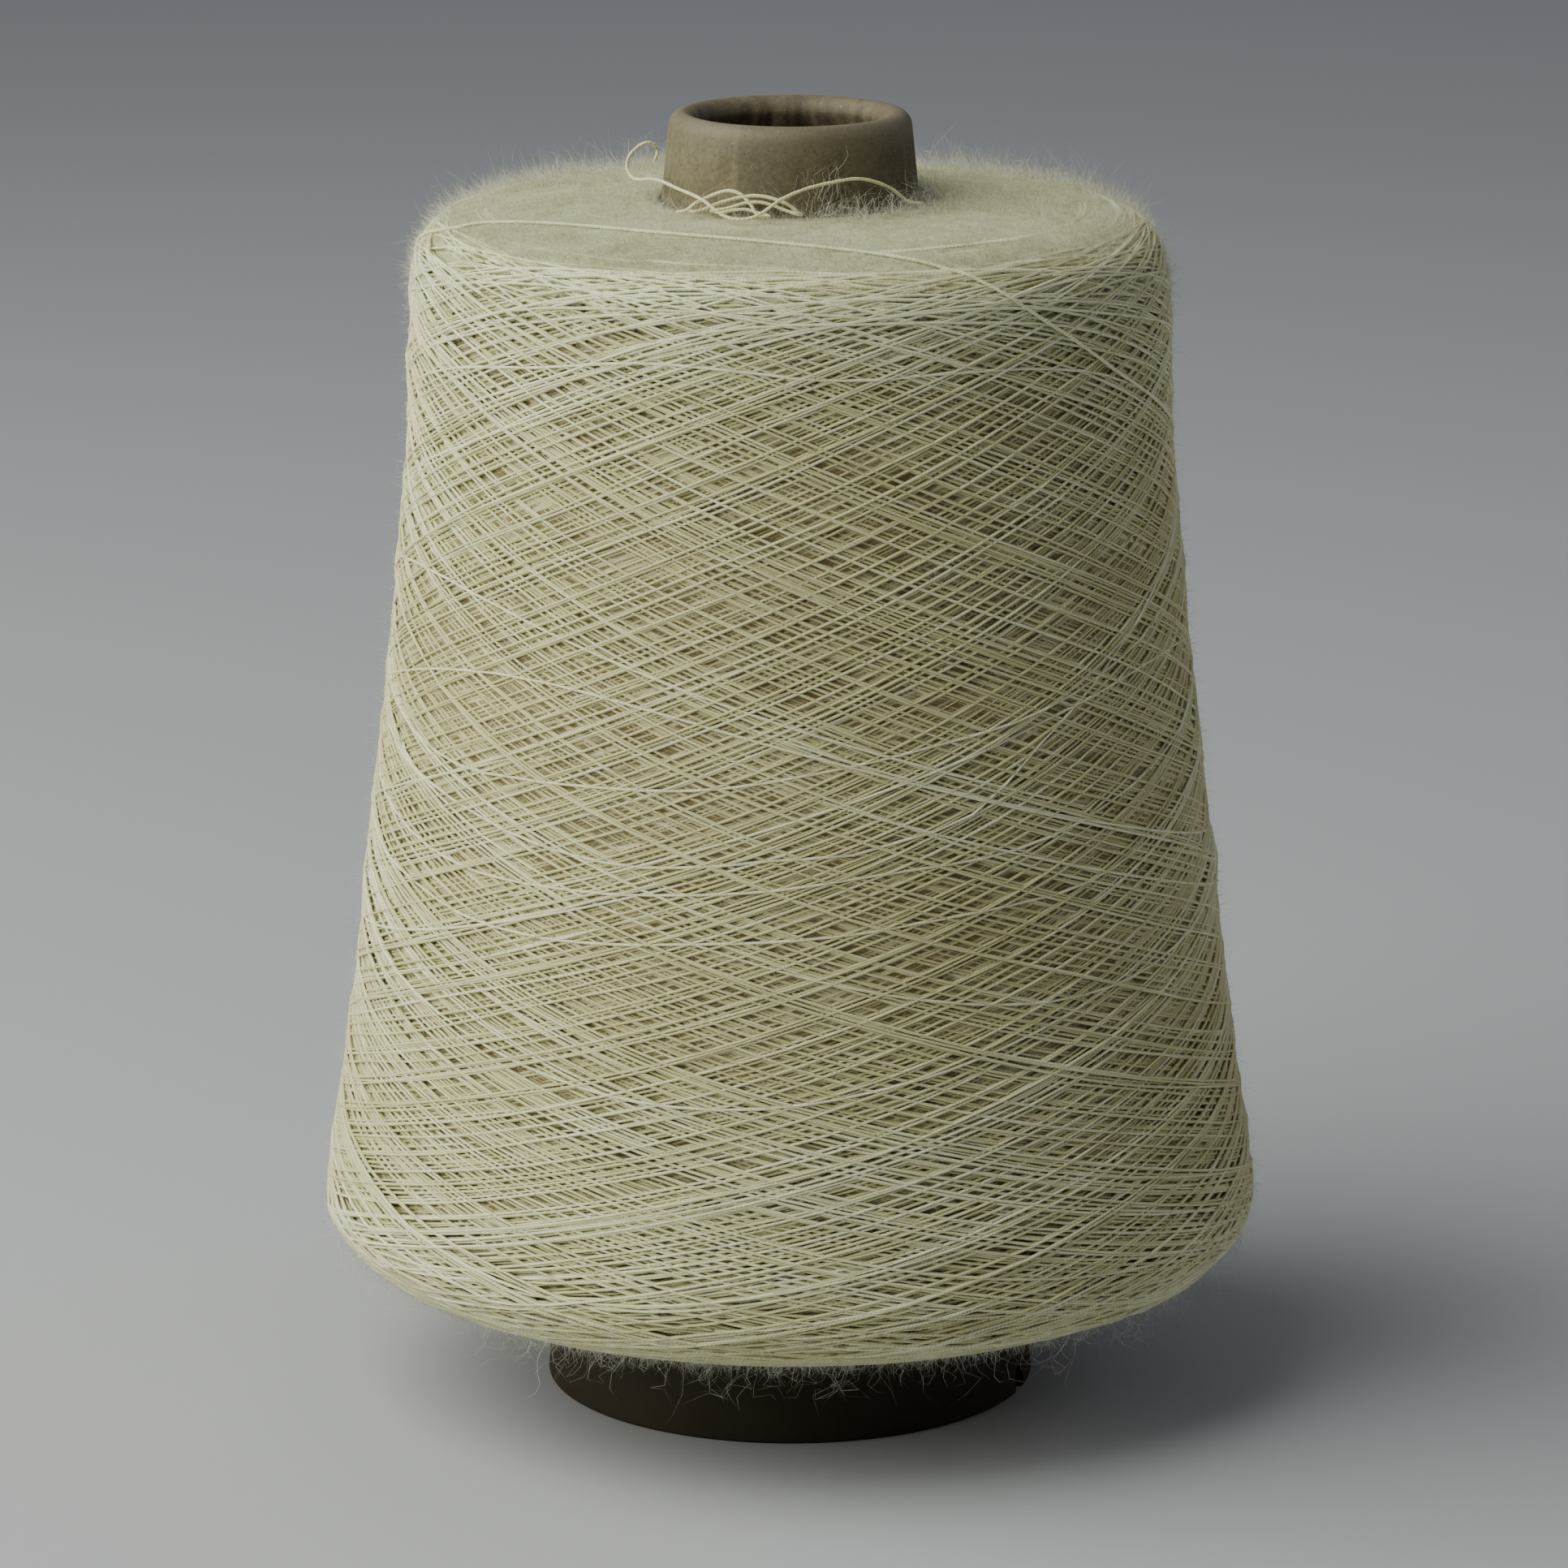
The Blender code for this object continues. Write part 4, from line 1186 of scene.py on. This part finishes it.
def hairSets(settings):
    # a hair's length is its kind's shortest plus the rest times a random number to a power
    sets = []
    for count, bends, shortest, longest, curl, droop in settings["kinds"]:
        roots, normals, distance = rootsOnYarn(count, settings)
        scatter = settings["scatter"] * dice.normal(size=(count, 3))
        directions = (normals * settings["outwards"]
                      + np.array([0.0, 0.0, settings["upwards"]]) + scatter)
        if settings.get("turnedOut"):
            # those that would point into the wool are turned over
            inwards = np.minimum((directions * normals).sum(axis=1), 0.0)
            directions -= 2.0 * inwards[:, None] * normals
        lengths = shortest + (longest - shortest) * dice.uniform(size=count) ** settings["power"]
        if "shortPast" in settings:
            lengths *= np.where(distance > settings["shortPast"], settings["shortened"], 1.0)
        sets.append({"roots": roots, "directions": directions, "lengths": lengths,
                     "thickness": settings["thickness"], "bends": bends, "curl": curl,
                     "droop": droop})
    return sets


def patchesAt(places, waves):
    # a tone between 0 and 1 that changes from place to place: sine waves, each with its own
    # direction, length and phase, are added up, divided by the square root of their number,
    # multiplied by the contrast and laid round the middle
    tone = np.zeros(len(places))
    for direction, length, phase in waves:
        across = places[:, 0] * math.cos(direction) + places[:, 1] * math.sin(direction)
        tone += np.sin(math.tau * (across / length + phase)) / math.sqrt(len(waves))
    return np.clip(0.5 + patches["contrast"] * tone, 0.0, 1.0)


def hairPiece(name, material, sets, waves=None):
    # sets of hairs joined into one piece, with a random tint for each hair
    tints = []
    for settings in sets:
        tint = dice.uniform(size=len(settings["roots"]))
        if waves is not None:
            patchy = patchesAt(settings["roots"], waves)
            tint = (1.0 - patches["share"]) * tint + patches["share"] * patchy
        tints.append(np.repeat(tint, 3 * settings["bends"] + 1))
    points, walls, tips, before = [], [], [], 0
    for settings in sets:
        setPoints, (setWalls, setTips) = hairs(**settings)
        points.append(setPoints)
        walls.append(setWalls + before)
        tips.append(setTips + before)
        before += len(setPoints)
    faces = [np.vstack(walls), np.vstack(tips)]
    meshPiece(name, np.vstack(points), faces, material, "wound_yarn", tint=np.concatenate(tints))
    print(f"{name}: {2 * len(faces[0]) + len(faces[1])} triangles")


def noseSets():
    # kinked fibres round the tube's foot on the top, most of them at its front right and behind it,
    # and a few that climb the tube
    sets = []
    for count, middle, spread, widest, longest in noseFuzz["tangles"]:
        azimuth = dice.normal(middle, spread, count)
        distance = dice.uniform(noseFuzz["nearest"], widest, count)
        scatter = noseFuzz["scatter"] * dice.normal(size=(count, 3))
        lengths = noseFuzz["shortest"] + longest * dice.uniform(size=count) ** noseFuzz["power"]
        sets.append({"roots": onYarn(azimuth, distance, -noseFuzz["sunk"]),
                     "directions": np.array([0.0, 0.0, noseFuzz["upwards"]]) + scatter,
                     "lengths": lengths, "thickness": noseFuzz["thickness"],
                     "bends": noseFuzz["bends"], "curl": noseFuzz["curl"]})
    count = climbing["count"]
    azimuth = dice.normal(math.radians(climbing["azimuth"]), climbing["spread"], count)
    height = dice.uniform(*climbing["heights"], count)
    upwards = np.array([0.0, 0.0, 1.0]) + climbing["outwards"] * place(azimuth, 1.0, 0.0)
    scatter = climbing["scatter"] * dice.normal(size=(count, 3)) * climbing["scatterShares"]
    sets.append({"roots": place(azimuth, tubeRadius(height) + climbing["fromTube"], height),
                 "directions": upwards + scatter,
                 "lengths": dice.uniform(*climbing["lengths"], count),
                 "thickness": noseFuzz["thickness"], "bends": climbing["bends"],
                 "curl": climbing["curl"]})
    return sets


topWaves = np.stack([
    dice.uniform(0.0, math.tau, patches["waves"]),
    dice.uniform(*patches["lengths"], patches["waves"]),
    dice.uniform(size=patches["waves"])], axis=1)
for name in ("top_haze_1", "top_haze_2"):
    hairPiece(name, fineHair, hairSets(haze), topWaves)
hairPiece("foot_fringe", greyHair, hairSets(fringe))
hairPiece("side_fuzz", fineHair, hairSets(sideFuzz))
hairPiece("nose_fuzz", greyHair, noseSets())
report("fuzz")


stage = {
    "floor": (0.465, 0.475, 0.51, 1.0), "floorSize": 4.0,
    "sky": (0.595, 0.605, 0.71, 1.0), "skyStrength": 0.155,
    "aimHeight": 0.09,
    "lights": (                   # name, place in metres, size, power in watts, colour
        ("key", (-0.65, -0.22, 0.69), 1.2, 17.6, (0.98, 1.0, 0.90)),
        ("fill", (1.0, 0.2, 0.6), 0.8, 1.5, (0.95, 0.97, 1.0)),
        ("back", (0.0, 2.1, 1.3), 1.6, 3.0, (0.95, 0.98, 1.0)),
    ),
}


def makeStage():
    # a pale floor under an even sky, with area lights aimed at the cone's middle height: those in
    # front at its axis, those behind at a spot as far back as they stand
    material, _, shader = newMaterial("paleFloor", roughness=0.8)
    shader["Base Color"].default_value = stage["floor"]
    mesh = bpy.data.meshes.new("floor")
    size = stage["floorSize"]
    mesh.from_pydata([(-size, -size, 0), (size, -size, 0), (size, size, 0), (-size, size, 0)],
                     [], [(0, 1, 2, 3)])
    mesh.materials.append(material)
    put("floor", mesh)
    world = bpy.data.worlds.new("studio")
    world.use_nodes = True
    sky = world.node_tree.nodes["Background"].inputs
    sky["Color"].default_value = stage["sky"]
    sky["Strength"].default_value = stage["skyStrength"]
    bpy.context.scene.world = world
    for name, spot, size, power, colour in stage["lights"]:
        light = bpy.data.lights.new(name, "AREA")
        light.size = size
        light.energy = power
        light.color = colour
        lamp = put(name, light)
        lamp.location = spot
        aim = Vector((0.0, max(spot[1], 0.0), stage["aimHeight"])) - Vector(spot)
        lamp.rotation_euler = aim.to_track_quat("-Z", "Y").to_euler()


makeStage()
report("stage")
